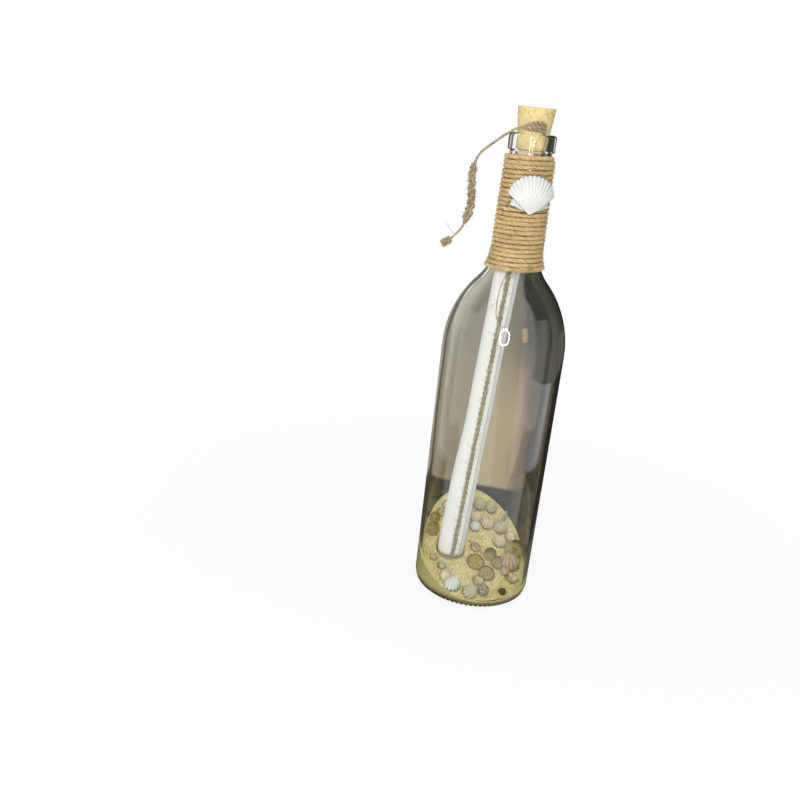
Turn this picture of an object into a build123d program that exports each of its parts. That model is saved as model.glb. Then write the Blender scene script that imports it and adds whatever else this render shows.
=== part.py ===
"""A message in a bottle: a corked glass bottle on a bed of sand and shells, its neck wound with
twine under a scallop shell, and a rolled sheet of paper inside that hangs on the twine from the cork.

Lengths are millimetres. The origin is the centre of the bottle's foot, +Z is up and -Y is the front.
"""
from build123d import *
from math import asin, atan2, cos, degrees, hypot, pi, radians, sin, sqrt, tan
import os

os.makedirs("parts", exist_ok=True)

# Bottle: a straight-sided 750 ml wine bottle
body_diameter = 75.0
bottle_height = 290.0
glass_wall = 2.5
shoulder_height = 163.0
shoulder_radius_share = 64 / 75
shoulder_turn = 42.0
neck_root_radius = 13.1
neck_top_radius = 12.1
neck_wall = 2.0
bore_radius = 9.25
bore_depth = 20.0
finish_radius = 13.6
finish_height = 9.0
finish_step = 1.0
lip_rounding = 2.0
foot_width = 4.0
heel_radius = 6.0
punt_depth = 9.0
inner_heel_radius = 4.5
cut_overrun = 5.0

# Sand: poured to one side, so that it lies in a shallow bowl at the angle of repose
sand_centre_height = 23.5
sand_slope_angle = 33.2
sand_bowl_radius = 250.0
sand_fall_direction = 22.1
sand_clearance = 0.1
seat_clearance = 0.05

# Rolled message
paper_length = 210.0
roll_radius = 7.9
paper_thickness = 0.45
layer_gap = 0.35
paper_layers = 2.0
roll_root_shift = -2.86
roll_root_shift_back = -0.62
roll_mouth_shift = 0.8
roll_mouth_shift_back = 0.6
roll_foot_height = 21.5
pocket_clearance = 0.4

# Twine
strand_diameter = 1.5
tie_width = 2.6
tie_thickness = 1.3
tie_turn_radius = 0.8
tie_side = 8.0
tie_clearance = 0.05
tie_knot_radius = 2.2
tie_knot_seat_share = 0.7
run_share = 0.45
groove_depth = 0.2
groove_lead_share = 0.45
front_rise = 4.0
# The strand round the cork's front: reach as a share of the cork, degrees to the right, share of the rise
front_shares = [(0.99, 36, 0.85), (1.04, 15, 1.05), (1.04, -6, 1.08)]
exit_share = 0.45
# The loose end's route, chosen by hand to the knot at its tip, with its heights measured from the lip
tail_route = [
    (-9.8, -8.9, 2.4), (-16.0, -8.0, -2.2), (-23.4, -7.3, -8.4), (-28.6, -6.7, -13.1), (-31.0, -6.3, -19.4),
    (-31.4, -6.0, -26.2), (-30.8, -5.8, -33.6), (-29.8, -5.8, -39.8), (-30.4, -6.0, -46.4),
    (-32.2, -6.2, -53.0), (-35.2, -6.4, -58.8), (-40.6, -6.4, -64.2), (-43.8, -6.2, -66.4),
]
braid_first = 5
braid_last = 9
wrap_twine = 2.5
wrap_pitch = 3.0
wrap_foot_drop = 13.0
wrap_lip_gap = 4.0
wrap_clearance = 0.06
wrap_start_angle = 120.0
small_turn = 0.001
wrap_samples = 36

# Scallop shell on the neck
scallop_width = 25.0
scallop_height = 21.5
scallop_rise = 6.0
scallop_wall = 1.2
scallop_ribs = 15
scallop_fan = 128.0
rib_radius = 0.85
rib_lobe_share = 1.5
rib_groove_radius = 0.5
groove_shares = [0.4, 0.75, 1.1]
ear_width = 19.0
ear_height = 4.5
ear_foot = 2.4
ear_top_share = 0.85
scallop_side = 13.0
scallop_lip_drop = 32.5
glue_radius = 6.0

# Cork
cork_proud = 14.3
cork_inside = 9.0
cork_taper = 7.0
cork_clearance = 0.1
cork_edge = 0.5
groove_side = 48.0
groove_clearance = 0.1

# Knots in the loose end
braid_knot_radius = 2.5
braid_knot_count = 7
end_knot_radius = 2.6
end_knot_tip_share = 0.8

# Shells, beads and glass on the sand. Down the slope and across it are shares of the inside
# radius, and length, width and height are shares of a typical shell's length.
trinket_length = 10.0
trinket_shares = {
    # name: (shape, down, across, turned, tipped, lift, length, width, height)
    "big_glass_gem": ("lens", 0.09, 0.80, 20, 8, 0.20, 1.15, 1.15, 0.62),
    "round_glass_bead": ("bead", 0.14, 0.27, 0, 0, 0.20, 0.78, 0.78, 0.78),
    "mauve_clam": ("clam", 0.27, 0.66, 200, 0, -0.04, 1.05, 0.95, 0.34),
    "mauve_pebble": ("egg", 0.44, 0.50, 30, 0, 0.05, 0.74, 0.50, 0.50),
    "striped_clam": ("clam", -0.09, 0.54, 150, 0, -0.04, 0.85, 0.75, 0.32),
    "right_clam": ("clam", -0.15, 0.80, 120, 0, -0.04, 0.72, 0.66, 0.26),
    "toothed_clam": ("clam", -0.34, 0.63, 185, 12, -0.04, 1.0, 0.85, 0.34),
    "small_white_shell": ("clam", -0.37, 0.10, 160, 0, -0.04, 0.62, 0.62, 0.28),
    "clear_disc_back": ("lens", 0.28, 0.40, 0, 10, 0.03, 0.86, 0.86, 0.26),
    "clear_disc_front": ("lens", 0.46, 0.13, 0, 6, 0.03, 1.0, 1.0, 0.28),
    "amber_disc": ("lens", 0.24, -0.03, 0, -4, 0.00, 1.1, 1.1, 0.24),
    "spiral_shell": ("spire", 0.58, -0.06, -55, 0, 0.05, 0.95, 0.42, 0.42),
    "cone_shell": ("spire", 0.56, 0.60, -50, 0, 0.10, 0.95, 0.46, 0.46),
    "lace_bead": ("bead", 0.79, -0.04, 0, 0, 0.20, 0.75, 0.75, 0.75),
    "grey_shell_front": ("clam", 0.79, -0.29, 40, 0, -0.04, 0.9, 0.8, 0.34),
    "white_clam_front": ("clam", 0.64, -0.58, 200, 0, -0.04, 0.95, 0.85, 0.36),
    "cream_egg": ("egg", 0.48, -0.68, 60, 0, 0.08, 0.82, 0.58, 0.58),
    "small_spiral_left": ("spire", 0.29, -0.70, -70, 0, 0.05, 0.65, 0.34, 0.34),
    "ring_bead_left": ("bead", 0.12, -0.82, 0, 0, 0.05, 0.45, 0.45, 0.45),
    "olive_bead": ("bead", 0.81, 0.33, 0, 0, 0.03, 0.45, 0.45, 0.45),
    "clear_gem_left": ("lens", -0.35, -0.77, 0, 18, 0.10, 0.85, 0.85, 0.5),
    "clear_gem_back": ("lens", -0.54, -0.70, 0, 10, 0.10, 0.7, 0.7, 0.42),
    "grey_shell_back": ("clam", -0.73, 0.27, 160, 0, -0.02, 0.85, 0.78, 0.36),
    "grey_shell_behind": ("clam", -0.68, 0.51, 200, 0, -0.02, 0.8, 0.75, 0.32),
    "cream_clam_high": ("clam", -0.53, 0.16, 190, 0, -0.10, 0.82, 0.72, 0.26),
    "cream_clam_low": ("clam", -0.41, 0.37, 170, 0, -0.10, 0.8, 0.7, 0.24),
    "pale_sliver": ("plate", -0.50, 0.72, 70, 0, 0.28, 0.5, 0.12, 0.95),
    "mauve_sliver": ("plate", -0.02, 0.03, -52, 0, 0.03, 1.0, 0.12, 0.35),
    "spike_shell": ("spike", -0.62, -0.56, 0, 0, 0.00, 0.8, 0.26, 0.26),
    "white_spire_left": ("spike", -0.74, -0.42, 0, 0, 0.00, 0.7, 0.32, 0.32),
}
whorl_count = 5
whorl_tip_share = 0.2
clam_lobes = 9
clam_fan = 240.0
lens_rim_share = 0.12
egg_end_share = 0.32
clam_lobe_share = 0.13
clam_hinge_share = 0.32

body_radius = body_diameter / 2
inside_radius = body_radius - glass_wall
shoulder_radius = body_diameter * shoulder_radius_share
shoulder_drop = shoulder_radius * (1 - cos(radians(shoulder_turn)))
hollow_radius = (body_radius - shoulder_drop - neck_root_radius) / (1 - cos(radians(shoulder_turn)))
neck_root_height = shoulder_height + (shoulder_radius + hollow_radius) * sin(radians(shoulder_turn))
finish_base = bottle_height - finish_height
inner_neck_radius = neck_root_radius - neck_wall
foot_outer = body_radius - heel_radius
foot_inner = foot_outer - foot_width
floor_height = glass_wall
wrap_foot_height = neck_root_height - wrap_foot_drop
wrap_turns = int((finish_base - wrap_lip_gap - wrap_foot_height) / wrap_pitch)
scallop_centre_height = bottle_height - scallop_lip_drop


def write_piece(piece, name):
    """Label a finished piece and write it out."""
    piece.part.label = name
    export_step(piece.part, f"parts/{name}.step")


def polar(radius, side, height):
    """A point at a radius and a height, side degrees to the right of the front."""
    return Vector(radius * sin(radians(side)), -radius * cos(radians(side)), height)


def cavity_foot(clearance):
    """Half the outline of the floor inside the bottle, drawn inside the glass by a clearance."""
    floor = floor_height + clearance
    dome = TangentArc((0, floor + punt_depth), (foot_inner, floor), tangent=(1, 0))
    ring = Line(dome @ 1, (inside_radius - inner_heel_radius, floor))
    return JernArc(start=ring @ 1, tangent=(1, 0), radius=inner_heel_radius - clearance, arc_size=90)


# The glass, made whole and then parted where the shoulder turns into the neck, so each piece is a simple one
with BuildPart() as glass:
    with BuildSketch(Plane.XZ) as glass_outline:
        with BuildLine():
            TangentArc((0, punt_depth), (foot_inner, 0), tangent=(1, 0))
            Line((foot_inner, 0), (foot_outer, 0))
            heel = JernArc(start=(foot_outer, 0), tangent=(1, 0), radius=heel_radius, arc_size=90)
            side = Line(heel @ 1, (body_radius, shoulder_height))
            shoulder = JernArc(start=side @ 1, tangent=(0, 1), radius=shoulder_radius, arc_size=shoulder_turn)
            hollow = JernArc(
                start=shoulder @ 1, tangent=shoulder % 1, radius=hollow_radius, arc_size=-shoulder_turn
            )
            neck = Line(hollow @ 1, (neck_top_radius, finish_base - finish_step))
            step = Line(neck @ 1, (finish_radius, finish_base))
            Polyline(step @ 1, (finish_radius, bottle_height), (0, bottle_height), (0, punt_depth))
        make_face()
        lip_corner = glass_outline.vertices().group_by(Axis.Y)[-1].sort_by(Axis.X)[-1]
        fillet(lip_corner, lip_rounding)
    revolve(axis=Axis.Z)
    with BuildSketch(Plane.XZ):
        with BuildLine():
            inner_heel = cavity_foot(0)
            inner_side = Line(inner_heel @ 1, (inside_radius, shoulder_height))
            inner_shoulder = JernArc(
                start=inner_side @ 1, tangent=(0, 1),
                radius=shoulder_radius - glass_wall, arc_size=shoulder_turn,
            )
            inner_root = TangentArc(
                inner_shoulder @ 1, (inner_neck_radius, neck_root_height), tangent=inner_shoulder % 1
            )
            Polyline(
                inner_root @ 1, (bore_radius, bottle_height - bore_depth),
                (bore_radius, bottle_height + cut_overrun), (0, bottle_height + cut_overrun),
                (0, floor_height + punt_depth),
            )
        make_face()
    revolve(axis=Axis.Z, mode=Mode.SUBTRACT)

neck_foot = Plane.XY.offset(shoulder_height + shoulder_radius * sin(radians(shoulder_turn)))
with BuildPart() as bottle:
    add(glass.part)
    split(bisect_by=neck_foot, keep=Keep.BOTTOM)
write_piece(bottle, "bottle")
with BuildPart() as bottle_neck:
    add(glass.part)
    split(bisect_by=neck_foot, keep=Keep.TOP)
write_piece(bottle_neck, "bottle_neck")


# The message, rolled up about its own leaning axis, which goes through the neck from its root to the mouth
roll_root = Vector(roll_root_shift, roll_root_shift_back, neck_root_height)
roll_mouth = Vector(roll_mouth_shift, roll_mouth_shift_back, bottle_height)
roll_up = (roll_mouth - roll_root).normalized()
roll_foot = roll_root - roll_up * ((neck_root_height - roll_foot_height) / roll_up.Z)
roll_plane = Plane(origin=roll_foot, x_dir=(1, 0, 0), z_dir=roll_up)
tie_out = (roll_plane.x_dir * sin(radians(tie_side)) - roll_plane.y_dir * cos(radians(tie_side))).normalized()
tie_plane = Plane(origin=roll_foot, x_dir=tie_out, z_dir=tie_out.cross(roll_up))
layer_pitch = paper_thickness + layer_gap
half_turns = int(2 * paper_layers)
tie_reach = roll_radius + tie_clearance + tie_thickness / 2
tie_end = tie_clearance + tie_thickness / 2
tie_outside = tie_clearance + tie_thickness


def spiral_half(half, side):
    """One half turn of the sheet's edge; side is 1 outside and -1 inside."""
    middle = -layer_pitch / 4 if half % 2 else layer_pitch / 4
    centre_line = roll_radius - paper_thickness / 2 - layer_pitch / 4 - half * layer_pitch / 2
    radius = centre_line + side * paper_thickness / 2
    return CenterArc((middle, 0), radius, start_angle=180 * (half % 2), arc_size=180)


with BuildPart() as message_scroll:
    with BuildSketch(roll_plane):
        with BuildLine():
            outside = [spiral_half(half, 1) for half in range(half_turns)]
            inside = [spiral_half(half, -1) for half in range(half_turns)]
            Line(outside[0] @ 0, inside[0] @ 0)
            Line(outside[-1] @ 1, inside[-1] @ 1)
        make_face()
    extrude(amount=paper_length)
write_piece(message_scroll, "message_scroll")

# The doubled twine: up the front of the roll, over its top, down its hollow core and under its foot
with BuildPart() as scroll_twine:
    with BuildLine(tie_plane) as tie_path:
        FilletPolyline(
            (tie_reach, -tie_end), (tie_reach, paper_length + tie_end), (0, paper_length + tie_end),
            (0, -tie_end), radius=tie_turn_radius, close=True,
        )
    tie_loop = tie_path.wires()[0]
    with BuildSketch(Plane(origin=tie_loop @ 0, x_dir=tie_plane.z_dir, z_dir=tie_loop % 0)):
        SlotOverall(tie_width, tie_thickness)
    sweep(path=tie_loop)
write_piece(scroll_twine, "scroll_twine")

tie_top = roll_foot + roll_up * (paper_length + tie_outside)
knot_centre = tie_top + roll_up * (tie_knot_radius * tie_knot_seat_share)
with BuildPart() as scroll_knot:
    with Locations(knot_centre):
        Sphere(tie_knot_radius)
    split(bisect_by=Plane(origin=tie_top, z_dir=roll_up), keep=Keep.TOP)
write_piece(scroll_knot, "scroll_knot")


# The cork
def cork_radius(height):
    """The cork's radius at a height; at the lip it just clears the bore."""
    return bore_radius - cork_clearance + (height - bottle_height) * tan(radians(cork_taper))


cork_foot = bottle_height - cork_inside
cork_top = bottle_height + cork_proud


def run_radii(points):
    """The arc at each corner of a route: as large as its shorter run allows."""
    radii = []
    for before, corner, after in zip(points, points[1:], points[2:]):
        turn = (corner - before).get_angle(after - corner)
        radii.append(run_share * min((corner - before).length, (after - corner).length) / tan(radians(turn) / 2))
    return radii


def twine_tube(points, diameter, name):
    """A round strand along straight runs joined by arcs; prints its arcs and its volume."""
    radii = run_radii(points)
    with BuildPart() as strand:
        with BuildLine() as route:
            FilletPolyline(*points, radius=radii)
        with BuildSketch(Plane(origin=points[0], z_dir=points[1] - points[0])):
            Circle(diameter / 2)
        sweep(path=route.wires()[0])
    length = route.wires()[0].length
    print(name, "length", round(length, 1), "radii", [round(radius, 1) for radius in radii])
    print(name, "volume", round(strand.part.volume, 2), "section by length",
          round(pi * diameter ** 2 / 4 * length, 2))
    return strand


# The strand from the roll to the cork, up the cork's groove, across its front and out over the lip
knot_top = knot_centre + roll_up * tie_knot_radius
groove_foot = polar(cork_radius(cork_foot) - strand_diameter / 2 - groove_depth, groove_side, cork_foot)
groove_top = polar(
    cork_radius(bottle_height) - strand_diameter / 2, groove_side, bottle_height + strand_diameter / 2
)
groove_lead = groove_foot - (groove_top - groove_foot) * groove_lead_share
front_reach = cork_radius(bottle_height + front_rise) + strand_diameter / 2
front_points = [
    polar(front_reach * reach_share, side, bottle_height + front_rise * rise_share)
    for reach_share, side, rise_share in front_shares
]
neck_strand = twine_tube([knot_top, groove_lead, groove_foot], strand_diameter, "neck_strand")
write_piece(neck_strand, "neck_strand")

tail_points = [Vector(x, y, height + bottle_height) for x, y, height in tail_route]
twine_exit = front_points[-1] + (tail_points[0] - front_points[-1]) * exit_share
held_points = [groove_foot, groove_top, *front_points, twine_exit]
cork_twine = twine_tube(held_points, strand_diameter, "cork_twine")
write_piece(cork_twine, "cork_twine")

with BuildPart() as cork:
    with BuildSketch(Plane.XZ):
        with BuildLine():
            Polyline(
                (0, cork_foot), (cork_radius(cork_foot), cork_foot), (cork_radius(cork_top), cork_top),
                (0, cork_top), close=True,
            )
        make_face()
    revolve(axis=Axis.Z)
    chamfer(cork.edges().filter_by(GeomType.CIRCLE), cork_edge)
    with BuildLine() as groove_route:
        below = groove_foot - (groove_top - groove_foot).normalized() * strand_diameter
        FilletPolyline(below, *held_points[1:], radius=run_radii([below, *held_points[1:]]))
    with BuildSketch(Plane(origin=below, z_dir=groove_top - below)):
        Circle(strand_diameter / 2 + groove_clearance)
    sweep(path=groove_route.wires()[0], mode=Mode.SUBTRACT)
write_piece(cork, "cork")

# The loose end of the twine, with its chain of knots and the knot at its tip
upper_points = [twine_exit, *tail_points[:braid_first]]
lower_points = tail_points[braid_last - 1:-1]
twine_tail_upper = twine_tube(upper_points, strand_diameter, "twine_tail_upper")
twine_tail_lower = twine_tube(lower_points, strand_diameter, "twine_tail_lower")
write_piece(twine_tail_upper, "twine_tail_upper")
write_piece(twine_tail_lower, "twine_tail_lower")

braid_points = tail_points[braid_first - 1:braid_last]
with BuildLine() as braid_route:
    FilletPolyline(*braid_points, radius=run_radii(braid_points))
with BuildPart() as tail_braid:
    for knot in range(braid_knot_count):
        with Locations(braid_route.wires()[0].position_at(knot / (braid_knot_count - 1))):
            Sphere(braid_knot_radius)
    add(twine_tail_upper.part, mode=Mode.SUBTRACT)
    add(twine_tail_lower.part, mode=Mode.SUBTRACT)
write_piece(tail_braid, "tail_braid")

with BuildPart() as tail_end_knot:
    with Locations(tail_points[-2]):
        Sphere(end_knot_radius)
    with Locations(tail_points[-1]):
        Sphere(end_knot_radius * end_knot_tip_share)
    add(twine_tail_lower.part, mode=Mode.SUBTRACT)
write_piece(tail_end_knot, "tail_end_knot")


# The twine wound round the neck
def glass_radius(height):
    """The outside of the neck at a height, down the hollow below it."""
    if height >= neck_root_height:
        neck_length = finish_base - finish_step - neck_root_height
        return neck_root_radius - (neck_root_radius - neck_top_radius) * (height - neck_root_height) / neck_length
    drop = neck_root_height - height
    return neck_root_radius + hollow_radius - sqrt(hollow_radius ** 2 - drop ** 2)


def wrap_reach(height):
    """The radius of the wound twine's centre line at a height."""
    stand_off = wrap_twine / 2 + wrap_clearance
    if height >= neck_root_height:
        return glass_radius(height) + stand_off
    drop = neck_root_height - height
    return neck_root_radius + hollow_radius - sqrt((hollow_radius - stand_off) ** 2 - drop ** 2)


def wrap_point(turn):
    """A point of the winding, counted in turns from its foot."""
    height = wrap_foot_height + wrap_pitch * turn
    return polar(wrap_reach(height), wrap_start_angle + 360 * turn, height)


def wrap_tangent(turn):
    """The winding's direction at a point."""
    return (wrap_point(turn + small_turn) - wrap_point(turn - small_turn)).normalized()


def biarc_joint(start, start_tangent, end, end_tangent):
    """The point where two arcs of equal reach join smoothly between two points and directions."""
    chord = end - start
    tangents = start_tangent + end_tangent
    twist = 2 * (1 - start_tangent.dot(end_tangent))
    along = chord.dot(tangents)
    reach = (sqrt(along ** 2 + twist * chord.dot(chord)) - along) / twist
    return (start + end + (start_tangent - end_tangent) * reach) / 2


quarters = 4 * wrap_turns
with BuildPart() as neck_wrap:
    with BuildLine() as winding:
        first_tangent = wrap_tangent(0)
        Line(wrap_point(0) - first_tangent * wrap_twine, wrap_point(0))
        for quarter in range(quarters):
            start, end = wrap_point(quarter / 4), wrap_point((quarter + 1) / 4)
            start_tangent = wrap_tangent(quarter / 4)
            joint = biarc_joint(start, start_tangent, end, wrap_tangent((quarter + 1) / 4))
            first_arc = TangentArc(start, joint, tangent=start_tangent)
            TangentArc(joint, end, tangent=first_arc % 1)
        Line(wrap_point(wrap_turns), wrap_point(wrap_turns) + wrap_tangent(wrap_turns) * wrap_twine)
    with BuildSketch(Plane(origin=wrap_point(0) - first_tangent * wrap_twine, z_dir=first_tangent)):
        Circle(wrap_twine / 2)
    sweep(path=winding.wires()[0])
write_piece(neck_wrap, "neck_wrap")
wound = winding.wires()[0]
samples = [wound.position_at(step / (wrap_samples * wrap_turns)) for step in range(wrap_samples * wrap_turns + 1)]
gap = min(
    (a - b).length
    for number, a in enumerate(samples)
    for b in samples[number + wrap_samples // 2:number + 2 * wrap_samples]
) - wrap_twine
print("neck_wrap least gap to itself", round(gap, 3), "volume", round(neck_wrap.part.volume, 1),
      "section by length", round(pi * wrap_twine ** 2 / 4 * wound.length, 1))


# The sand and what lies on it
slope_turn = radians(sand_fall_direction)
slope_down = Vector(sin(slope_turn), -cos(slope_turn), 0)
slope_across = Vector(cos(slope_turn), sin(slope_turn), 0)
bowl_centre = Vector(
    sand_bowl_radius * sin(radians(sand_slope_angle)),
    sand_centre_height + sand_bowl_radius * cos(radians(sand_slope_angle)),
)


def sand_height(down):
    """The height of the sand at a distance down its slope from the bottle's axis."""
    return bowl_centre.Y - sqrt(sand_bowl_radius ** 2 - (down - bowl_centre.X) ** 2)


def seat(down, across, turned, tipped, lift):
    """A plane on the sand, square to its surface, turned about it, tipped and lifted."""
    steepness = asin((bowl_centre.X - down) / sand_bowl_radius)
    point = slope_down * down + slope_across * across + Vector(0, 0, sand_height(down))
    normal = slope_down * sin(steepness) + Vector(0, 0, cos(steepness))
    ground = Plane(origin=point, x_dir=slope_across, z_dir=normal)
    return Plane(ground.location * Location((0, 0, lift), (tipped, 0, turned)))


def upright(ground):
    """The plane through a seat's own x direction and its normal."""
    return Plane(origin=ground.origin, x_dir=ground.x_dir, z_dir=-ground.y_dir)


def lens(ground, length, width, height):
    """A flat glass marble: two shallow domes with a rounded rim."""
    with BuildPart() as solid:
        with BuildSketch(upright(ground)) as outline:
            with BuildLine():
                top = TangentArc((0, height / 2), (length / 2, 0), tangent=(1, 0))
                bottom = TangentArc((0, -height / 2), (length / 2, 0), tangent=(1, 0))
                Line(top @ 0, bottom @ 0)
            make_face()
            fillet(outline.vertices().sort_by(Axis.X)[-1], height * lens_rim_share)
        revolve(axis=Axis(ground.origin, ground.z_dir))
    return solid


def bead(ground, length, width, height):
    """A round bead."""
    with BuildPart(ground) as solid:
        Sphere(length / 2)
    return solid


def egg(ground, length, width, height):
    """A pebble: a wide arc between two small round ends, turned about its own length."""
    end = height * egg_end_share
    reach = length / 2 - end
    flank = (reach ** 2 + height ** 2 / 4 - end ** 2) / (height - 2 * end)
    turn = degrees(atan2(reach, flank - height / 2))
    with BuildPart() as solid:
        with BuildSketch(upright(ground)):
            with BuildLine():
                left = CenterArc((-reach, 0), end, start_angle=90 + turn, arc_size=90 - turn)
                CenterArc((0, height / 2 - flank), flank, start_angle=90 - turn, arc_size=2 * turn)
                right = CenterArc((reach, 0), end, start_angle=0, arc_size=90 - turn)
                Line(left @ 1, right @ 0)
            make_face()
        revolve(axis=Axis(ground.origin, ground.x_dir))
    return solid


def plate(ground, length, width, height):
    """A broken piece of shell standing on its edge."""
    with BuildPart() as solid:
        with BuildSketch(upright(ground)):
            Ellipse(length / 2, height / 2)
        extrude(amount=width / 2, both=True)
    return solid


def whorls(section, axis, length, width):
    """A spiral shell: a row of bulges that grow from the tip, turned about its axis."""
    reaches = [
        width / 2 * (whorl_tip_share + (1 - whorl_tip_share) * step / whorl_count) for step in range(whorl_count + 1)
    ]
    places = [length * (step / whorl_count - 1 / 2) for step in range(whorl_count + 1)]
    with BuildPart() as solid:
        with BuildSketch(section):
            with BuildLine():
                for place, reach, next_place, next_reach in zip(places, reaches, places[1:], reaches[1:]):
                    ThreePointArc((place, reach), ((place + next_place) / 2, next_reach), (next_place, next_reach))
                Polyline(
                    (places[-1], reaches[-1]), (places[-1], 0), (places[0], 0), (places[0], reaches[0])
                )
            make_face()
        revolve(axis=axis)
    return solid


def spire(ground, length, width, height):
    """A spiral shell lying on its side."""
    return whorls(upright(ground), Axis(ground.origin, ground.x_dir), length, width)


def spike(ground, length, width, height):
    """A spiral shell standing on its mouth, its tip up."""
    section = Plane(origin=ground.origin, x_dir=-ground.z_dir, z_dir=ground.y_dir)
    return whorls(section, Axis(ground.origin, ground.z_dir), length, width)


def clam(ground, length, width, height):
    """A small shell, domed side up: a cap of a ball cut to an oval with a lobe for each rib."""
    lobe = clam_lobe_share * length / 2
    hinge_radius = clam_hinge_share * width / 2
    with BuildPart() as solid:
        with BuildSketch(upright(ground)):
            with BuildLine():
                crown = Line((0, 0), (0, height))
                rim = TangentArc(crown @ 1, (length / 2, 0), tangent=(1, 0))
                Line(rim @ 1, crown @ 0)
            make_face()
        revolve(axis=Axis(ground.origin, ground.z_dir))
        with BuildSketch(ground):
            Ellipse(length / 2 - lobe, width / 2 - lobe)
            for number in range(clam_lobes):
                angle = radians(90 + clam_fan * (number / (clam_lobes - 1) - 1 / 2))
                with Locations(((length / 2 - lobe) * cos(angle), (width / 2 - lobe) * sin(angle))):
                    Circle(lobe)
            with Locations((0, hinge_radius - width / 2)):
                Circle(hinge_radius)
        extrude(amount=height, mode=Mode.INTERSECT)
    return solid


shapes = {"lens": lens, "bead": bead, "egg": egg, "plate": plate, "spire": spire, "spike": spike, "clam": clam}
pockets = []
for name, (shape, down, across, turned, tipped, lift, *size_shares) in trinket_shares.items():
    place = (down * inside_radius, across * inside_radius)
    ground = seat(*place, turned, tipped, lift * trinket_length)
    size = [share * trinket_length for share in size_shares]
    reach = max(size)
    with BuildPart() as trinket:
        add(shapes[shape](ground, *size).part)
        for other_place, other_reach, other in pockets:
            if hypot(place[0] - other_place[0], place[1] - other_place[1]) < (reach + other_reach) / 2:
                add(other.part, mode=Mode.SUBTRACT)
    write_piece(trinket, name)
    roomy_size = [extent + 2 * seat_clearance for extent in size]
    roomy_ground = ground.offset(-seat_clearance) if shape == "clam" else ground
    pockets.append((place, reach, shapes[shape](roomy_ground, *roomy_size)))

with BuildPart() as sand_bed:
    with BuildSketch(Plane.XZ):
        with BuildLine():
            foot = cavity_foot(sand_clearance)
            sand_side = inside_radius - sand_clearance
            Polyline(
                foot @ 1, (sand_side, shoulder_height), (0, shoulder_height),
                (0, floor_height + sand_clearance + punt_depth),
            )
        make_face()
    revolve(axis=Axis.Z)
    with BuildSketch(Plane(origin=(0, 0, 0), x_dir=slope_down, z_dir=-slope_across)):
        with BuildLine():
            surface = ThreePointArc(
                (-body_radius, sand_height(-body_radius)), (0, sand_centre_height),
                (body_radius, sand_height(body_radius)),
            )
            Polyline(surface @ 1, (body_radius, 0), (-body_radius, 0), surface @ 0)
        make_face()
    extrude(amount=body_radius, both=True, mode=Mode.INTERSECT)
    for place, reach, pocket in pockets:
        add(pocket.part, mode=Mode.SUBTRACT)
    roll_pocket = roll_plane.offset(-tie_outside - pocket_clearance)
    with BuildSketch(roll_pocket):
        Circle(roll_radius + pocket_clearance)
    extrude(amount=body_radius + sand_height(-body_radius), mode=Mode.SUBTRACT)
    tie_corridor = Plane(origin=roll_pocket.origin, x_dir=tie_out, z_dir=roll_up)
    with BuildSketch(tie_corridor):
        Rectangle(roll_radius + tie_outside + pocket_clearance, tie_width + 2 * pocket_clearance,
                  align=(Align.MIN, Align.CENTER))
    extrude(amount=body_radius + sand_height(-body_radius), mode=Mode.SUBTRACT)
write_piece(sand_bed, "sand_bed")

# The scallop, glued to the winding with its hinge down
wrap_front = wrap_reach(scallop_centre_height - scallop_height / 2) + wrap_twine / 2
shell_out = polar(1, scallop_side, 0)
shell_seat = Plane(
    origin=shell_out * (wrap_front + seat_clearance) + Vector(0, 0, scallop_centre_height),
    x_dir=shell_out.cross(Vector(0, 0, -1)), z_dir=shell_out,
)
half_width = scallop_width / 2
half_height = scallop_height / 2
ball_radius = (half_width ** 2 + scallop_rise ** 2) / (2 * scallop_rise)
ball_centre = shell_seat.origin - shell_out * (ball_radius - scallop_rise)
rib_step = scallop_fan / scallop_ribs


def fan_place(turn, share):
    """A place on the shell's flat outline, turn degrees from its middle rib, a share of the way from the hinge."""
    angle = radians(90 + turn)
    reach = 2 * sin(angle) / half_height / ((cos(angle) / half_width) ** 2 + (sin(angle) / half_height) ** 2)
    return reach * share * cos(angle), reach * share * sin(angle) - half_height


def on_ball(place):
    """The point of the shell's outer ball over a place in its seat."""
    flat = shell_seat.from_local_coords(Vector(*place, 0))
    height = sqrt(ball_radius ** 2 - place[0] ** 2 - place[1] ** 2) - (ball_radius - scallop_rise)
    return flat + shell_out * height


with BuildPart() as scallop_shell:
    with BuildSketch(shell_seat):
        Ellipse(half_width - rib_radius, half_height - rib_radius)
        for number in range(scallop_ribs):
            with Locations(fan_place(rib_step * (number - (scallop_ribs - 1) / 2), 1 - rib_radius / half_height)):
                Circle(rib_radius * rib_lobe_share)
        with BuildLine():
            Polyline(
                (-ear_width / 2, ear_foot - half_height), (ear_width / 2, ear_foot - half_height),
                (ear_width / 2 * ear_top_share, ear_foot + ear_height - half_height),
                (-ear_width / 2 * ear_top_share, ear_foot + ear_height - half_height), close=True,
            )
        make_face()
    extrude(amount=ball_radius)
    with Locations(Plane(origin=ball_centre, z_dir=shell_out)):
        Sphere(ball_radius, mode=Mode.INTERSECT)
        Sphere(ball_radius - scallop_wall, mode=Mode.SUBTRACT)
    for number in range(scallop_ribs - 1):
        turn = rib_step * (number - (scallop_ribs - 2) / 2)
        with BuildLine():
            groove = ThreePointArc(*[on_ball(fan_place(turn, share)) for share in groove_shares])
        with BuildSketch(Plane(origin=groove @ 0, z_dir=groove % 0)):
            Circle(rib_groove_radius)
        sweep(path=groove, mode=Mode.SUBTRACT)
write_piece(scallop_shell, "scallop_shell")

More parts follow.
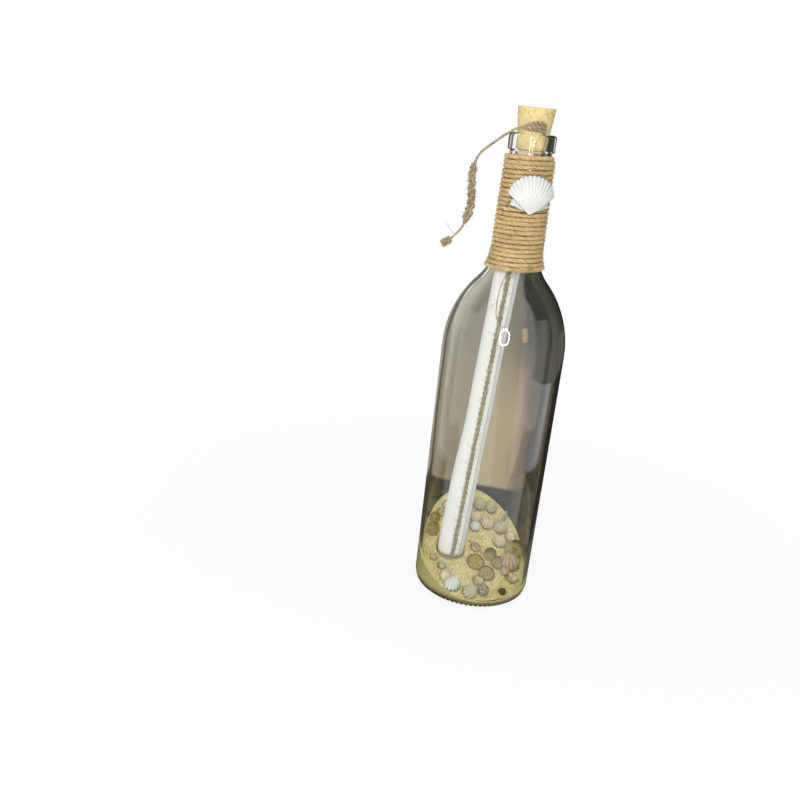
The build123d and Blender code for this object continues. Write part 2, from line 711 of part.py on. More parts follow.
with BuildPart() as shell_glue:
    with BuildSketch(Plane(origin=(0, 0, scallop_centre_height), x_dir=shell_seat.x_dir, z_dir=shell_out)):
        Circle(glue_radius)
    extrude(amount=body_radius)
    with Locations(Plane(origin=ball_centre, z_dir=shell_out)):
        Sphere(ball_radius - scallop_wall - seat_clearance, mode=Mode.INTERSECT)
    with BuildSketch(Plane.XZ):
        with BuildLine():
            low, high = scallop_centre_height - half_height, scallop_centre_height + half_height
            stand_off = wrap_twine / 2 + seat_clearance
            Polyline(
                (0, low), (wrap_reach(low) + stand_off, low), (wrap_reach(high) + stand_off, high), (0, high),
                close=True,
            )
        make_face()
    revolve(axis=Axis.Z, mode=Mode.SUBTRACT)
write_piece(shell_glue, "shell_glue")
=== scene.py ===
# %% [markdown]
# # A message in a bottle
# A corked wine bottle with a twine-wound neck, a rolled letter that hangs on the cork's twine, and a
# bed of sand with shells and glass marbles. The measured parts come from the frame, and every piece
# here is made round them in metres, so nothing is fitted by eye afterwards.

# %% Load the frame
import bpy
import random
from math import atan2, cos, degrees, hypot, pi, radians, sin, sqrt, tan, tau
from mathutils import Matrix, Vector, noise


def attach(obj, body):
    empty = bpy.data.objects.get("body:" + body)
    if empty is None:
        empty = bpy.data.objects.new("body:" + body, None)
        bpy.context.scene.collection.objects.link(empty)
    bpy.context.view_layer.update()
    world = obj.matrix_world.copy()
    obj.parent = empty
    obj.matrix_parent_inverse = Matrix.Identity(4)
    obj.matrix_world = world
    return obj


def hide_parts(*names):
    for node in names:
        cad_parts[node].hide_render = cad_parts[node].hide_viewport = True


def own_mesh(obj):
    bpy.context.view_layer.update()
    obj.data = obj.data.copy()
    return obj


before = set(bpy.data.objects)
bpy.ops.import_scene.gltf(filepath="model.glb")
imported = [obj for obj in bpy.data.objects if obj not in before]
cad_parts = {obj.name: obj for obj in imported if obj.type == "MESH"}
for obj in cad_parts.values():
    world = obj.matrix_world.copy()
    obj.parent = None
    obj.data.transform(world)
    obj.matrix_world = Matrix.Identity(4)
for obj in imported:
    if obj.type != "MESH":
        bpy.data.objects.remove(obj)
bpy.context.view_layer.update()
mm = 0.001

# %% [markdown]
# ## The camera
# The view looks a little down on the bottle and is rolled, so the bottle leans in the picture. A
# pinhole camera has only a place, three turns and a lens, and these are all set here.

# %% Camera
camera_place = Vector((0, -0.51276, 0.30358))
camera_turn, camera_tip, camera_roll = -0.1167, 0.3416, 0.1032
camera_lens = 38.486

looking = Vector((sin(camera_turn) * cos(camera_tip), cos(camera_turn) * cos(camera_tip), -sin(camera_tip)))
level = Vector((cos(camera_turn), -sin(camera_turn), 0))
above = level.cross(looking)
camera_side = level * cos(camera_roll) + above * sin(camera_roll)
camera_up = above * cos(camera_roll) - level * sin(camera_roll)
camera = bpy.data.objects.new("camera", bpy.data.cameras.new("camera"))
bpy.context.scene.collection.objects.link(camera)
camera.matrix_world = Matrix.Translation(camera_place) @ Matrix(
    (camera_side, camera_up, -looking)
).transposed().to_4x4()
camera.data.lens = camera_lens
camera.data.clip_start, camera.data.clip_end = 0.01, 100
bpy.context.scene.camera = camera

# %% [markdown]
# ## Floor, world and lamps
# A pale floor and a white world give the plain studio that glass needs. Clear glass has no colour of
# its own: it shows what it bends and what it mirrors. So a panel of the stage, toned light on the
# left and dark on the right, stands close behind the bottle, and only rays that have met the glass
# see it. A ring lamp round the camera gives the round highlight that the glass mirrors.

# %% Small helpers for node trees
def add(tree, kind, inputs=None, **settings):
    """A node of a kind, with its settings, and its inputs set or linked; a node links by its first output."""
    node = tree.nodes.new(kind)
    for key, value in settings.items():
        setattr(node, key, value)
    for key, value in (inputs or {}).items():
        value = value.outputs[0] if isinstance(value, bpy.types.Node) else value
        if isinstance(value, bpy.types.NodeSocket):
            tree.links.new(value, node.inputs[key])
        else:
            node.inputs[key].default_value = value
    return node


def math(tree, operation, first, second=0.0):
    """The result of a sum on two numbers or sockets."""
    return add(tree, "ShaderNodeMath", {0: first, 1: second}, operation=operation).outputs[0]


def times(tree, first, second):
    """The product of two numbers or sockets."""
    return math(tree, "MULTIPLY", first, second)


def from_to(tree, value, start, end):
    """A value stretched so that it runs from 0 at its start to 1 at its end."""
    return add(tree, "ShaderNodeMapRange", {"Value": value, "From Min": start, "From Max": end}).outputs["Result"]


def blended(tree, share, first, second):
    """Two colours mixed by a share."""
    return add(tree, "ShaderNodeMix", {"Factor": share, 6: first, 7: second}, data_type="RGBA").outputs[2]


def attribute(tree, name):
    """A number that the mesh keeps at its points."""
    return add(tree, "ShaderNodeAttribute", attribute_name=name).outputs["Fac"]


def object_place(tree):
    """Where a point of the surface lies on its object, which pins a pattern to the piece."""
    return add(tree, "ShaderNodeTexCoord").outputs["Object"]


def grainy(tree, place, scale, detail, **more):
    """Noise over a place, from 0 to 1."""
    return add(tree, "ShaderNodeTexNoise", {"Vector": place, "Scale": scale, "Detail": detail, **more}).outputs[0]


def surfaced(tree, shader):
    """Makes a shader the surface of its material."""
    tree.links.new(shader.outputs[0], tree.nodes["Material Output"].inputs["Surface"])


mirrored_share = 0.34


def shown(tree):
    """1 on rays that see a thing, straight or through glass, less on mirrored ones and 0 on the rest."""
    path = add(tree, "ShaderNodeLightPath").outputs
    mirrored = times(tree, path["Is Glossy Ray"], mirrored_share)
    seen = math(tree, "MAXIMUM", path["Is Camera Ray"], path["Is Transmission Ray"])
    return math(tree, "MAXIMUM", seen, mirrored)


def new_material(name, **values):
    """A material with its Principled shader's plain values, such as roughness, set."""
    material = bpy.data.materials.new(name)
    material.use_nodes = True
    shader = material.node_tree.nodes["Principled BSDF"]
    for key, value in values.items():
        shader.inputs[key.replace("_", " ").title().replace("Ior", "IOR")].default_value = value
    return material, material.node_tree, shader


def colour(red, green, blue):
    """A colour as a screen shows it, from 0 to 255, turned into the light that a shader works in."""
    return tuple((c / 12.92 if c <= 0.04045 else ((c + 0.055) / 1.055) ** 2.4)
                 for c in (red / 255, green / 255, blue / 255)) + (1,)


def ramp(tree, mask, *stops):
    """A colour ramp over a mask, from stops of a place and a colour."""
    node = add(tree, "ShaderNodeValToRGB", {"Fac": mask})
    elements = node.color_ramp.elements
    for _ in stops[2:]:
        elements.new(1)
    for element, (place, shade) in zip(elements, stops):
        element.position, element.color = place, shade
    return node.outputs["Color"]


def object_of(name, data):
    """A new object for a mesh or curve, linked to the scene."""
    made = bpy.data.objects.new(name, data)
    bpy.context.scene.collection.objects.link(made)
    return made


def mesh_piece(name, points, faces, material, smooth=True, sharp=None):
    """A mesh object from points and faces."""
    mesh = bpy.data.meshes.new(name)
    mesh.from_pydata([tuple(point) for point in points], [], faces)
    mesh.materials.append(material)
    if smooth:
        mesh.shade_smooth()
    if sharp:
        mesh.set_sharp_from_angle(angle=radians(sharp))
    return object_of(name, mesh)


# %% Floor
square = ((-1, -1), (1, -1), (1, 1), (-1, 1))
floor_reach = 6.0
shade_reach, white_reach, near_white = 0.08, 0.45, 0.82
floor_material, tree, shader = new_material("studio_floor", base_color=colour(250, 250, 250), roughness=0.9)
far = add(tree, "ShaderNodeVectorMath", {0: object_place(tree)}, operation="LENGTH")
whiteness = add(tree, "ShaderNodeMapRange", {"Value": far.outputs["Value"], "From Min": shade_reach,
                                             "From Max": white_reach, "To Min": near_white, "To Max": 1.0})
white = add(tree, "ShaderNodeEmission", {"Color": (1, 1, 1, 1), "Strength": 1.0})
lifted = add(tree, "ShaderNodeMixShader", {
    0: times(tree, shown(tree), whiteness.outputs["Result"]), 1: shader, 2: white})
surfaced(tree, lifted)
floor = mesh_piece("studio_floor", [(x * floor_reach, y * floor_reach, 0) for x, y in square], [(0, 1, 2, 3)],
                   floor_material)

# %% World
world_light = 0.42
world = bpy.data.worlds.new("studio")
bpy.context.scene.world = world
world.use_nodes = True
tree = world.node_tree
strength = add(tree, "ShaderNodeMapRange", {"Value": shown(tree), "To Min": world_light, "To Max": 1.0})
sky = tree.nodes["Background"]
sky.inputs["Color"].default_value = (1, 1, 1, 1)
tree.links.new(strength.outputs["Result"], sky.inputs["Strength"])

# %% Lamps
def area_lamp(name, place, aim, size, power):
    """A soft square lamp that faces a point."""
    data = bpy.data.lights.new(name, "AREA")
    data.size, data.energy = size, power
    lamp = object_of(name, data)
    lamp.visible_glossy = lamp.visible_transmission = False
    lamp.location = place
    lamp.rotation_euler = (Vector(aim) - Vector(place)).to_track_quat("-Z", "Y").to_euler()


bottle_middle = (0, 0, 0.15)
area_lamp("front_lamp", (-0.04, -0.66, 0.46), bottle_middle, 0.16, 2.6)
area_lamp("key_lamp", (-0.7, -0.8, 0.95), bottle_middle, 0.4, 2.4)
area_lamp("top_lamp", (0.1, 0.3, 1.2), bottle_middle, 0.8, 2.2)

# %% Glowing pieces of the stage
def glowing_piece(name, points, faces, tone=(1, 1, 1, 1), strength=1.0):
    """A glowing piece that shows only in glass and in shiny surfaces; it lights nothing else."""
    material = bpy.data.materials.new(name)
    material.use_nodes = True
    tree = material.node_tree
    glow = add(tree, "ShaderNodeEmission", {"Color": tone, "Strength": strength})
    surfaced(tree, glow)
    piece = mesh_piece(name, points, faces, material, smooth=False)
    piece.visible_camera = piece.visible_diffuse = piece.visible_shadow = False
    return piece, tree, glow


# %% Ring lamp and window
ring_steps, ring_inside, ring_outside = 64, 74 * mm, 90 * mm
ring_points = [camera_place + (camera_side * cos(turn) + camera_up * sin(turn)) * reach
               for turn in [tau * step / ring_steps for step in range(ring_steps)]
               for reach in (ring_inside, ring_outside)]
glowing_piece("ring_lamp", ring_points, [
    [corner % len(ring_points) for corner in (first, first + 1, first + 3, first + 2)]
    for first in range(0, len(ring_points), 2)
], strength=46.0)
window_place, window_half, window_rise = Vector((0.332, -0.386, 0.330)), 0.045, 0.070
window_side = window_place.cross(Vector((0, 0, 1))).normalized()
glowing_piece("warm_window", [
    window_place + window_side * window_half * side + Vector((0, 0, window_rise * rise)) for side, rise in square
], [(0, 1, 2, 3)], colour(232, 206, 164), 5.0)


# %% Toned panel behind the bottle
def stored(piece, label, values):
    """Keeps a number at each point of a piece, for its material to read."""
    piece.data.attributes.new(label, "FLOAT", "POINT").data.foreach_set("value", values)


def grid_faces(rows, columns, first=0):
    """The quads of a grid whose rows, of one point more than its columns, are numbered one after another."""
    wide = columns + 1
    return [(corner, corner + 1, corner + wide + 1, corner + wide) for row in range(rows)
            for corner in range(first + row * wide, first + row * wide + columns)]


panel_back, panel_lift = 0.10, 0.2 * mm
panel_rows = (
    (-0.045, panel_lift, 44.8), (panel_back, panel_lift, 44.8), (panel_back, 0.070, 44.8), (panel_back, 0.136, 44.8),
    (panel_back, 0.164, 38.7), (panel_back, 0.187, 25.2), (panel_back, 0.212, 15.9), (panel_back, 0.400, 16.3),
)
panel_columns, panel_reach = 44, 5.5
panel_sides = [panel_reach * (2 * column / panel_columns - 1) for column in range(panel_columns + 1)]
panel, tree, glow = glowing_piece(
    "painted_card", [(side * half * mm, back, rise) for back, rise, half in panel_rows for side in panel_sides],
    grid_faces(len(panel_rows) - 1, panel_columns), strength=0.86)
stored(panel, "side", [side for _ in panel_rows for side in panel_sides])
stored(panel, "rise", [rise for _, rise, _ in panel_rows for _ in panel_sides])
side, rise = attribute(tree, "side"), attribute(tree, "rise")
clouds_across, clouds_up, cloud_drift = 2.6, 16.0, 0.5
cloud_place = add(tree, "ShaderNodeCombineXYZ", {
    "X": times(tree, side, clouds_across), "Y": times(tree, rise, clouds_up)})
cloud = grainy(tree, cloud_place, 1.0, 2.0)
drift = times(tree, math(tree, "SUBTRACT", cloud, 0.5), cloud_drift)
across = from_to(tree, math(tree, "ADD", side, drift), -2.5, 2.5)
low, body, shoulder, lip = (
    ramp(tree, across, *((place, colour(*tone)) for place, *tone in stops)) for stops in (
        ((0.20, 78, 75, 60), (0.42, 34, 33, 30), (0.62, 38, 37, 34), (0.68, 92, 90, 80), (0.80, 100, 99, 88),
         (0.88, 44, 44, 40)),
        ((0.04, 92, 88, 74), (0.10, 188, 182, 160), (0.24, 192, 186, 164), (0.30, 152, 138, 106),
         (0.38, 148, 136, 102), (0.47, 184, 166, 128), (0.58, 182, 160, 122), (0.62, 136, 112, 90),
         (0.67, 70, 66, 56), (0.72, 76, 75, 68), (0.78, 44, 45, 41)),
        ((0.04, 110, 104, 92), (0.12, 214, 207, 190), (0.28, 190, 182, 166), (0.34, 140, 132, 116),
         (0.48, 144, 134, 116), (0.55, 124, 116, 98), (0.60, 58, 57, 50), (0.70, 56, 56, 50), (0.77, 42, 43, 39)),
        ((0.05, 120, 114, 100), (0.14, 236, 226, 210), (0.52, 222, 212, 190), (0.62, 120, 118, 104),
         (0.70, 60, 63, 54)),
    ))
panel_tone = low
for tones, start, end in ((body, 0.0235, 0.0260), (shoulder, 0.085, 0.150), (lip, 0.235, 0.262)):
    panel_tone = blended(tree, from_to(tree, rise, start, end), panel_tone, tones)
tree.links.new(panel_tone, glow.inputs["Color"])
wing = [(0.072, 0.10), (0.085, -0.06)]
for name, foot, top, tone in (("dark_wing", 0.175, 0.345, colour(60, 62, 55)),
                              ("dim_wing", 0.135, 0.175, colour(94, 94, 85))):
    glowing_piece(name, [(x, y, rise) for rise in (foot, top) for x, y in wing], [(0, 1, 3, 2)], tone, 0.9)

# %% [markdown]
# ## The twine's loose end
# A cord comes before the other pieces, and its route reaches out beyond the bottle's side. The
# route is a list of points chosen along the real twine, and a NURBS curve through them is smooth by
# itself. The strands are then twisted round the points that this curve gives.

# %% The route of the loose end
twine_exit = Vector((-5.03, -9.95, 293.5)) * mm
tail_points = [Vector(point) * mm for point in [
    (-9.8, -8.9, 292.4), (-16.0, -8.0, 287.8), (-23.4, -7.3, 281.6), (-28.6, -6.7, 276.9), (-31.0, -6.3, 270.6),
    (-31.4, -6.0, 263.8), (-30.8, -5.8, 256.4), (-29.8, -5.8, 250.2), (-30.4, -6.0, 243.6),
    (-32.2, -6.2, 237.0), (-35.2, -6.4, 231.2), (-40.6, -6.4, 225.8), (-43.8, -6.2, 223.6),
]]
braid_first, braid_last = 4, 9


def curve_through(name, points, kind="NURBS"):
    """A curve object with one open spline: NURBS, smooth over its points, or POLY, straight between them."""
    data = bpy.data.curves.new(name, "CURVE")
    data.dimensions = "3D"
    spline = data.splines.new(kind)
    spline.points.add(len(points) - 1)
    for control, point in zip(spline.points, points):
        control.co = (*point, 1)
    if kind == "NURBS":
        spline.order_u = 3
        spline.use_endpoint_u = True
        spline.resolution_u = 12
    return object_of(name, data)


def points_along(route):
    """The points of a curve object, in order, as Blender draws it; the curve object is used up."""
    graph = bpy.context.evaluated_depsgraph_get()
    mesh = bpy.data.meshes.new_from_object(route.evaluated_get(graph), depsgraph=graph)
    points = [vertex.co.copy() for vertex in mesh.vertices]
    bpy.data.objects.remove(route)
    return points


def length_of(points):
    """The length of a line through points."""
    return sum((b - a).length for a, b in zip(points, points[1:]))


tail_line = points_along(curve_through("tail_route", [twine_exit, *tail_points[:-1]]))
print("loose end", round(length_of(tail_line) / mm, 1), "mm in", len(tail_line), "points")

# %% [markdown]
# ## Twine
# Real twine is two or three plies of loose fibre, each wound round the others. Modelling the plies
# as tubes that spiral about the route gives the light and dark slants that make twine look like
# twine, which a bump on a plain tube does not. Geometry Nodes do it for any route: they copy the
# route once for each ply, turn each copy round it and give it a section.

# %% Node groups, and the ends of geometry trees
def group_tree(kind, name, inputs, outputs):
    """A node group with inputs (name, kind, value) and outputs (name, kind), and the sockets of its inputs."""
    group = bpy.data.node_groups.new(name, kind)
    for label, socket_kind, value in inputs:
        socket = group.interface.new_socket(label, in_out="INPUT", socket_type="NodeSocket" + socket_kind)
        if value is not None:
            socket.default_value = value
    for label, socket_kind in outputs:
        group.interface.new_socket(label, in_out="OUTPUT", socket_type="NodeSocket" + socket_kind)
    return group, add(group, "NodeGroupInput").outputs


def geometry_tree(name, sockets):
    """A geometry tree with named inputs and one geometry output."""
    return group_tree("GeometryNodeTree", name, [("Geometry", "Geometry", None), *sockets],
                      [("Geometry", "Geometry")])


def vectors(tree, operation, first, second):
    """The result of a sum on two vectors."""
    return add(tree, "ShaderNodeVectorMath", {0: first, 1: second}, operation=operation).outputs[0]


def scaled(tree, vector, share):
    """A vector socket times a number."""
    return add(tree, "ShaderNodeVectorMath", {0: vector, "Scale": share}, operation="SCALE").outputs[0]


def kept(tree, geometry, label, value):
    """A geometry whose points keep a number under a name."""
    return add(tree, "GeometryNodeStoreNamedAttribute", {"Geometry": geometry, "Name": label, "Value": value},
               data_type="FLOAT", domain="POINT").outputs[0]


def finish_tree(tree, geometry, material):
    """Ends a tree as every tree here ends: instances made real, and a material."""
    real = add(tree, "GeometryNodeRealizeInstances", {"Geometry": geometry})
    named = add(tree, "GeometryNodeSetMaterial", {"Geometry": real, "Material": material})
    add(tree, "NodeGroupOutput", {0: named})


# %% The twine tree
twine_tree, given = geometry_tree("twine", [
    ("Plies", "Int", 2), ("Ply radius", "Float", 0.5 * mm), ("Twist radius", "Float", 0.4 * mm),
    ("Lay", "Float", 5 * mm), ("Step", "Float", 0.6 * mm), ("Sides", "Int", 6),
    ("Unevenness", "Float", 0.2), ("Seed", "Float", 1.0), ("Material", "Material", None),
])
tree, wander_fineness = twine_tree, 260.0
resampled = add(tree, "GeometryNodeResampleCurve", {"Curve": given["Geometry"], "Length": given["Step"]},
                mode="LENGTH")
along = add(tree, "GeometryNodeSplineParameter").outputs["Length"]
plies = add(tree, "GeometryNodeDuplicateElements", {
    "Geometry": kept(tree, resampled, "along", along), "Amount": given["Plies"]}, domain="SPLINE")
ply = plies.outputs["Duplicate Index"]
turn = times(tree, math(tree, "DIVIDE", along, given["Lay"]), tau)
phase = times(tree, math(tree, "DIVIDE", ply, given["Plies"]), tau)
angle = math(tree, "ADD", turn, phase)
wander = add(tree, "ShaderNodeTexNoise", {
    "Vector": add(tree, "GeometryNodeInputPosition"), "W": given["Seed"], "Scale": wander_fineness, "Detail": 2.0,
}, noise_dimensions="4D")
both_ways = math(tree, "SUBTRACT", times(tree, wander, 4.0), 2.0)
wander_share = math(tree, "ADD", 1.0, times(tree, given["Unevenness"], both_ways))
reach = times(tree, given["Twist radius"], wander_share)
normal = add(tree, "GeometryNodeInputNormal")
across = vectors(tree, "CROSS_PRODUCT", add(tree, "GeometryNodeInputTangent"), normal)
offset = vectors(tree, "ADD", *(scaled(tree, direction, times(tree, reach, math(tree, wave, angle)))
                                for direction, wave in ((normal, "COSINE"), (across, "SINE"))))
twisted = add(tree, "GeometryNodeSetPosition", {"Geometry": kept(tree, plies, "ply", ply),
                                                "Offset": offset})
section = add(tree, "GeometryNodeCurvePrimitiveCircle", {"Resolution": given["Sides"], "Radius": given["Ply radius"]})
around = add(tree, "GeometryNodeSplineParameter").outputs["Factor"]
tubes = add(tree, "GeometryNodeCurveToMesh", {
    "Curve": twisted, "Profile Curve": kept(tree, section, "around", around),
    "Scale": wander_share, "Fill Caps": True})
smooth = add(tree, "GeometryNodeSetShadeSmooth", {"Geometry": tubes})
finish_tree(tree, smooth, given["Material"])


# %% Run a tree and keep its mesh
def run_tree(tree, carrier, name, **inputs):
    """The mesh that a geometry tree makes of an object, as a new piece; the carrier is used up."""
    modifier = carrier.modifiers.new(name, "NODES")
    modifier.node_group = tree
    for item in tree.interface.items_tree:
        key = item.name.lower().replace(" ", "_")
        if item.in_out == "INPUT" and key in inputs:
            modifier[item.identifier] = inputs[key]
    graph = bpy.context.evaluated_depsgraph_get()
    mesh = bpy.data.meshes.new_from_object(
        carrier.evaluated_get(graph), preserve_all_data_layers=True, depsgraph=graph
    )
    bpy.data.objects.remove(carrier)
    print(name, "has", len(mesh.polygons), "faces")
    return object_of(name, mesh)


def twine_along(name, line, material, ply, twist, lay, step, rough, seed, plies=2, sides=8):
    """Twine laid along a line of points, or a curve object; its sizes are in millimetres."""
    carrier = line if isinstance(line, bpy.types.Object) else curve_through(name + "_line", line, "POLY")
    return run_tree(twine_tree, carrier, name, plies=plies, ply_radius=ply * mm, twist_radius=twist * mm,
                    lay=lay * mm, step=step * mm, sides=sides, unevenness=rough, seed=float(seed), material=material)


def joined(name, pieces):
    """Several pieces as one mesh object."""
    with bpy.context.temp_override(active_object=pieces[0], selected_editable_objects=pieces):
        bpy.ops.object.join()
    pieces[0].name = pieces[0].data.name = name
    return pieces[0]


# %% [markdown]
# ## Loose fibres
# Jute sheds fine hairs. They are scattered over a piece's own faces by Geometry Nodes, each a thin
# three-sided curve that leans away from the surface, and they join the piece that they grow on.

# %% The fibre tree
fibre_tree, given = geometry_tree("fibres", [
    ("Density", "Float", 4e5), ("Length", "Float", 3 * mm), ("Thickness", "Float", 0.05 * mm),
    ("Seed", "Int", 1), ("Material", "Material", None),
])
tree = fibre_tree
roots = add(tree, "GeometryNodeDistributePointsOnFaces", {
    "Mesh": given["Geometry"], "Density": given["Density"], "Seed": given["Seed"]})
hair = add(tree, "GeometryNodeCurveQuadraticBezier", {
    "Resolution": 4, "Start": (0, 0, 0), "Middle": (0.15, 0, 0.35), "End": (0.7, 0.1, 0.55)})
hair_radius = math(tree, "DIVIDE", times(tree, given["Thickness"], 0.5), given["Length"])
hair_section = add(tree, "GeometryNodeCurvePrimitiveCircle", {"Resolution": 3, "Radius": hair_radius})
hair_mesh = add(tree, "GeometryNodeCurveToMesh", {"Curve": hair, "Profile Curve": hair_section})
spun = add(tree, "FunctionNodeRandomValue", {"Min": (0, 0, 0), "Max": (0.5, 0.5, tau)}, data_type="FLOAT_VECTOR")
spin = add(tree, "FunctionNodeEulerToRotation", {0: spun})
turned = add(tree, "FunctionNodeRotateRotation", {"Rotation": roots.outputs["Rotation"], "Rotate By": spin},
             rotation_space="LOCAL")
size = add(tree, "FunctionNodeRandomValue", {"Min": 0.25, "Max": 1.0}, data_type="FLOAT")
hairs = add(tree, "GeometryNodeInstanceOnPoints", {
    "Points": roots.outputs["Points"], "Instance": hair_mesh, "Rotation": turned,
    "Scale": times(tree, size.outputs["Value"], given["Length"])})
finish_tree(tree, hairs, given["Material"])


def with_fibres(piece, material, density, length, thickness, seed):
    """A piece with loose fibres grown on it, as one mesh; the fibres' sizes are in millimetres."""
    carrier = object_of(piece.name + "_skin", piece.data.copy())
    hairs = run_tree(fibre_tree, carrier, piece.name + "_fibres", density=density,
                     length=length * mm, thickness=thickness * mm, seed=seed, material=material)
    return joined(piece.name, [piece, hairs])


# %% [markdown]
# ## Twine's colour
# Jute is golden where it is clean and brown where fibres shade each other. The colour follows the
# fibres: noise stretched along each ply, read from the attributes that the twine tree stored, makes
# streaks, and a slow noise over the whole piece makes lighter and darker lengths.

# %% Shader group: fibre streaks
def placed(tree, group, **inputs):
    """The outputs of a group placed in a material's tree with its own values."""
    node = add(tree, "ShaderNodeGroup", node_tree=group)
    for label, value in inputs.items():
        node.inputs[label].default_value = value
    return node.outputs


streaks, given = group_tree("ShaderNodeTree", "fibre_streaks", [("fineness", "Float", 1.0)],
                            [("mask", "Float"), ("height", "Float")])
fibre_place = add(streaks, "ShaderNodeCombineXYZ", {
    axis: times(streaks, attribute(streaks, label), share)
    for axis, label, share in (("X", "along", 260.0), ("Y", "around", 7.0), ("Z", "ply", 9.0))})
fibre_noise = grainy(streaks, fibre_place, given["fineness"], 4.0)
add(streaks, "NodeGroupOutput", {"mask": fibre_noise, "height": fibre_noise})

# %% Shader group: slow blotches
blotches, given = group_tree("ShaderNodeTree", "blotches", [
    ("scale", "Float", 60.0), ("low", "Float", 0.35), ("high", "Float", 0.65)], [("mask", "Float")])
slow = grainy(blotches, object_place(blotches), given["scale"], 5.0)
add(blotches, "NodeGroupOutput", {"mask": from_to(blotches, slow, given["low"], given["high"])})


# %% Twine materials
def bumped(tree, shader, strength, depth, height, **settings):
    """Gives a shader a bump of a depth, from a height that changes over the surface."""
    bump = add(tree, "ShaderNodeBump", {"Strength": strength, "Distance": depth, "Height": height}, **settings)
    tree.links.new(bump.outputs[0], shader.inputs["Normal"])


def dressed(tree, shader, tone, *bump, **settings):
    """Gives a shader its colour and its bump."""
    tree.links.new(tone, shader.inputs["Base Color"])
    bumped(tree, shader, *bump, **settings)


def twine_material(name, dark, middle, light, patch, patch_share):
    """Jute in three tones along its fibres, with patches of another tone."""
    material, tree, shader = new_material(name, roughness=0.72, specular_ior_level=0.35)
    mask = placed(tree, streaks, fineness=1.0)
    fibres = ramp(tree, mask["mask"], (0.3, dark), (0.52, middle), (0.72, light))
    patches = placed(tree, blotches, scale=95.0, low=0.40, high=0.62)["mask"]
    shade = blended(tree, times(tree, patches, patch_share), fibres, patch)
    dressed(tree, shader, shade, 0.5, 0.1 * mm, mask["height"])
    return material


golden_twine = twine_material("golden_twine", colour(150, 120, 76), colour(216, 186, 136), colour(250, 230, 186),
                              colour(176, 158, 104), 0.35)
brown_twine = twine_material("brown_twine", colour(104, 86, 60), colour(180, 160, 128), colour(236, 224, 200),
                             colour(140, 118, 84), 0.35)
green_twine = twine_material("green_twine", colour(92, 80, 56), colour(154, 140, 106), colour(214, 202, 172),
                             colour(128, 124, 80), 0.45)

# %% [markdown]
# ## The loose end, made
# The thin stretch is one two-ply twine over the whole route. It moves with the cork, as do the
# chain of knots and the knot at its tip.

# %% Loose end
tail = twine_along("loose_twine", tail_line, brown_twine, ply=0.44, twist=0.336, lay=4.2, step=0.35, rough=0.12, seed=3)
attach(tail, "cork")
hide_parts("twine_tail_upper", "twine_tail_lower")


def knot_line(centre, heading, radius, loops, seed):
    """A line wound about a heading like the turns of a pulled-up knot."""
    dice = random.Random(seed)
    first = heading.orthogonal().normalized()
    second = heading.cross(first).normalized()
    steps = 14 * loops
    line = []
    for step in range(steps + 1):
        share = step / steps
        angle = tau * loops * share + dice.uniform(-0.15, 0.15)
        swell = radius * (0.72 + 0.28 * sin(pi * share) + dice.uniform(-0.06, 0.06))
        rise = heading * radius * (share * 2 - 1) * 0.8
        line.append(centre + rise + first * swell * cos(angle) + second * swell * 0.85 * sin(angle))
    return line


def knot_piece(name, centres, headings, radius, seed):
    """A row of knots as one mesh, each a few turns of twine."""
    turns = [
        twine_along(f"{name}_{number}", knot_line(centre, heading, radius, 3, seed + number), brown_twine,
                    ply=0.42, twist=0.34, lay=3.6, step=0.5, rough=0.25, seed=seed + number, sides=6)
        for number, (centre, heading) in enumerate(zip(centres, headings))
    ]
    return with_fibres(joined(name, turns), brown_twine, density=3.0e5, length=4, thickness=0.07, seed=seed)


def near_index(point):
    """The number of the loose end's line point nearest to a point."""
    return min(range(len(tail_line)), key=lambda number: (tail_line[number] - point).length)


braid_pitch, braid_reach, braid_ease = 12.5 * mm, 1.6 * mm, 3 * mm
braid_line = tail_line[near_index(tail_points[braid_first]):near_index(tail_points[braid_last]) + 1]
braid_runs = [length_of(braid_line[:number + 1]) for number in range(len(braid_line))]


def braid_strand(strand):
    """One of three strands that cross over each other along the loose end's middle stretch."""
    line = []
    for number, (point, run) in enumerate(zip(braid_line, braid_runs)):
        before, after = braid_line[max(0, number - 1)], braid_line[min(len(braid_line) - 1, number + 1)]
        heading = (after - before).normalized()
        side = heading.cross(Vector((0, 1, 0))).normalized()
        depth = heading.cross(side)
        phase = tau * (run / braid_pitch + strand / 3)
        ease = min(1.0, (run / braid_ease) ** 0.5, (max(0.0, braid_runs[-1] - run) / braid_ease) ** 0.5)
        swell = braid_reach * ease * (1 + 0.5 * noise.noise(Vector((run / (5 * mm), strand * 3.7, 1))))
        line.append(point + side * swell * sin(phase) + depth * swell * 0.5 * sin(2 * phase))
    return line


strands = [twine_along(f"braid_{strand}", braid_strand(strand), brown_twine, ply=0.54, twist=0.46, lay=4.6, step=0.4,
                       rough=0.3, seed=20 + strand) for strand in range(3)]
chain = with_fibres(joined("loose_braid", strands), brown_twine, density=4.5e5, length=3.4, thickness=0.10, seed=20)
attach(chain, "cork")
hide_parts("tail_braid")

tip_heading = (tail_points[-1] - tail_points[-3]).normalized()
stray_points = [Vector(point) * mm for point in ((-37.2, -6.4, 229.8), (-40.6, -6.8, 232.0), (-43.6, -6.8, 237.2))]
stray = twine_along("stray_fibre", curve_through("stray_route", stray_points), brown_twine, ply=0.09, twist=0.0,
                    lay=5, step=0.4, rough=0.1, seed=1, plies=1, sides=4)
tip_centres = [tail_points[-2], tail_points[-2].lerp(tail_points[-1], 0.8)]
tip = joined("tip_knot", [knot_piece("tip_knot", tip_centres, [tip_heading] * 2, 1.9 * mm, 40), stray])
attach(tip, "cork")
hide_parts("tail_end_knot")
length_of(tail_line)

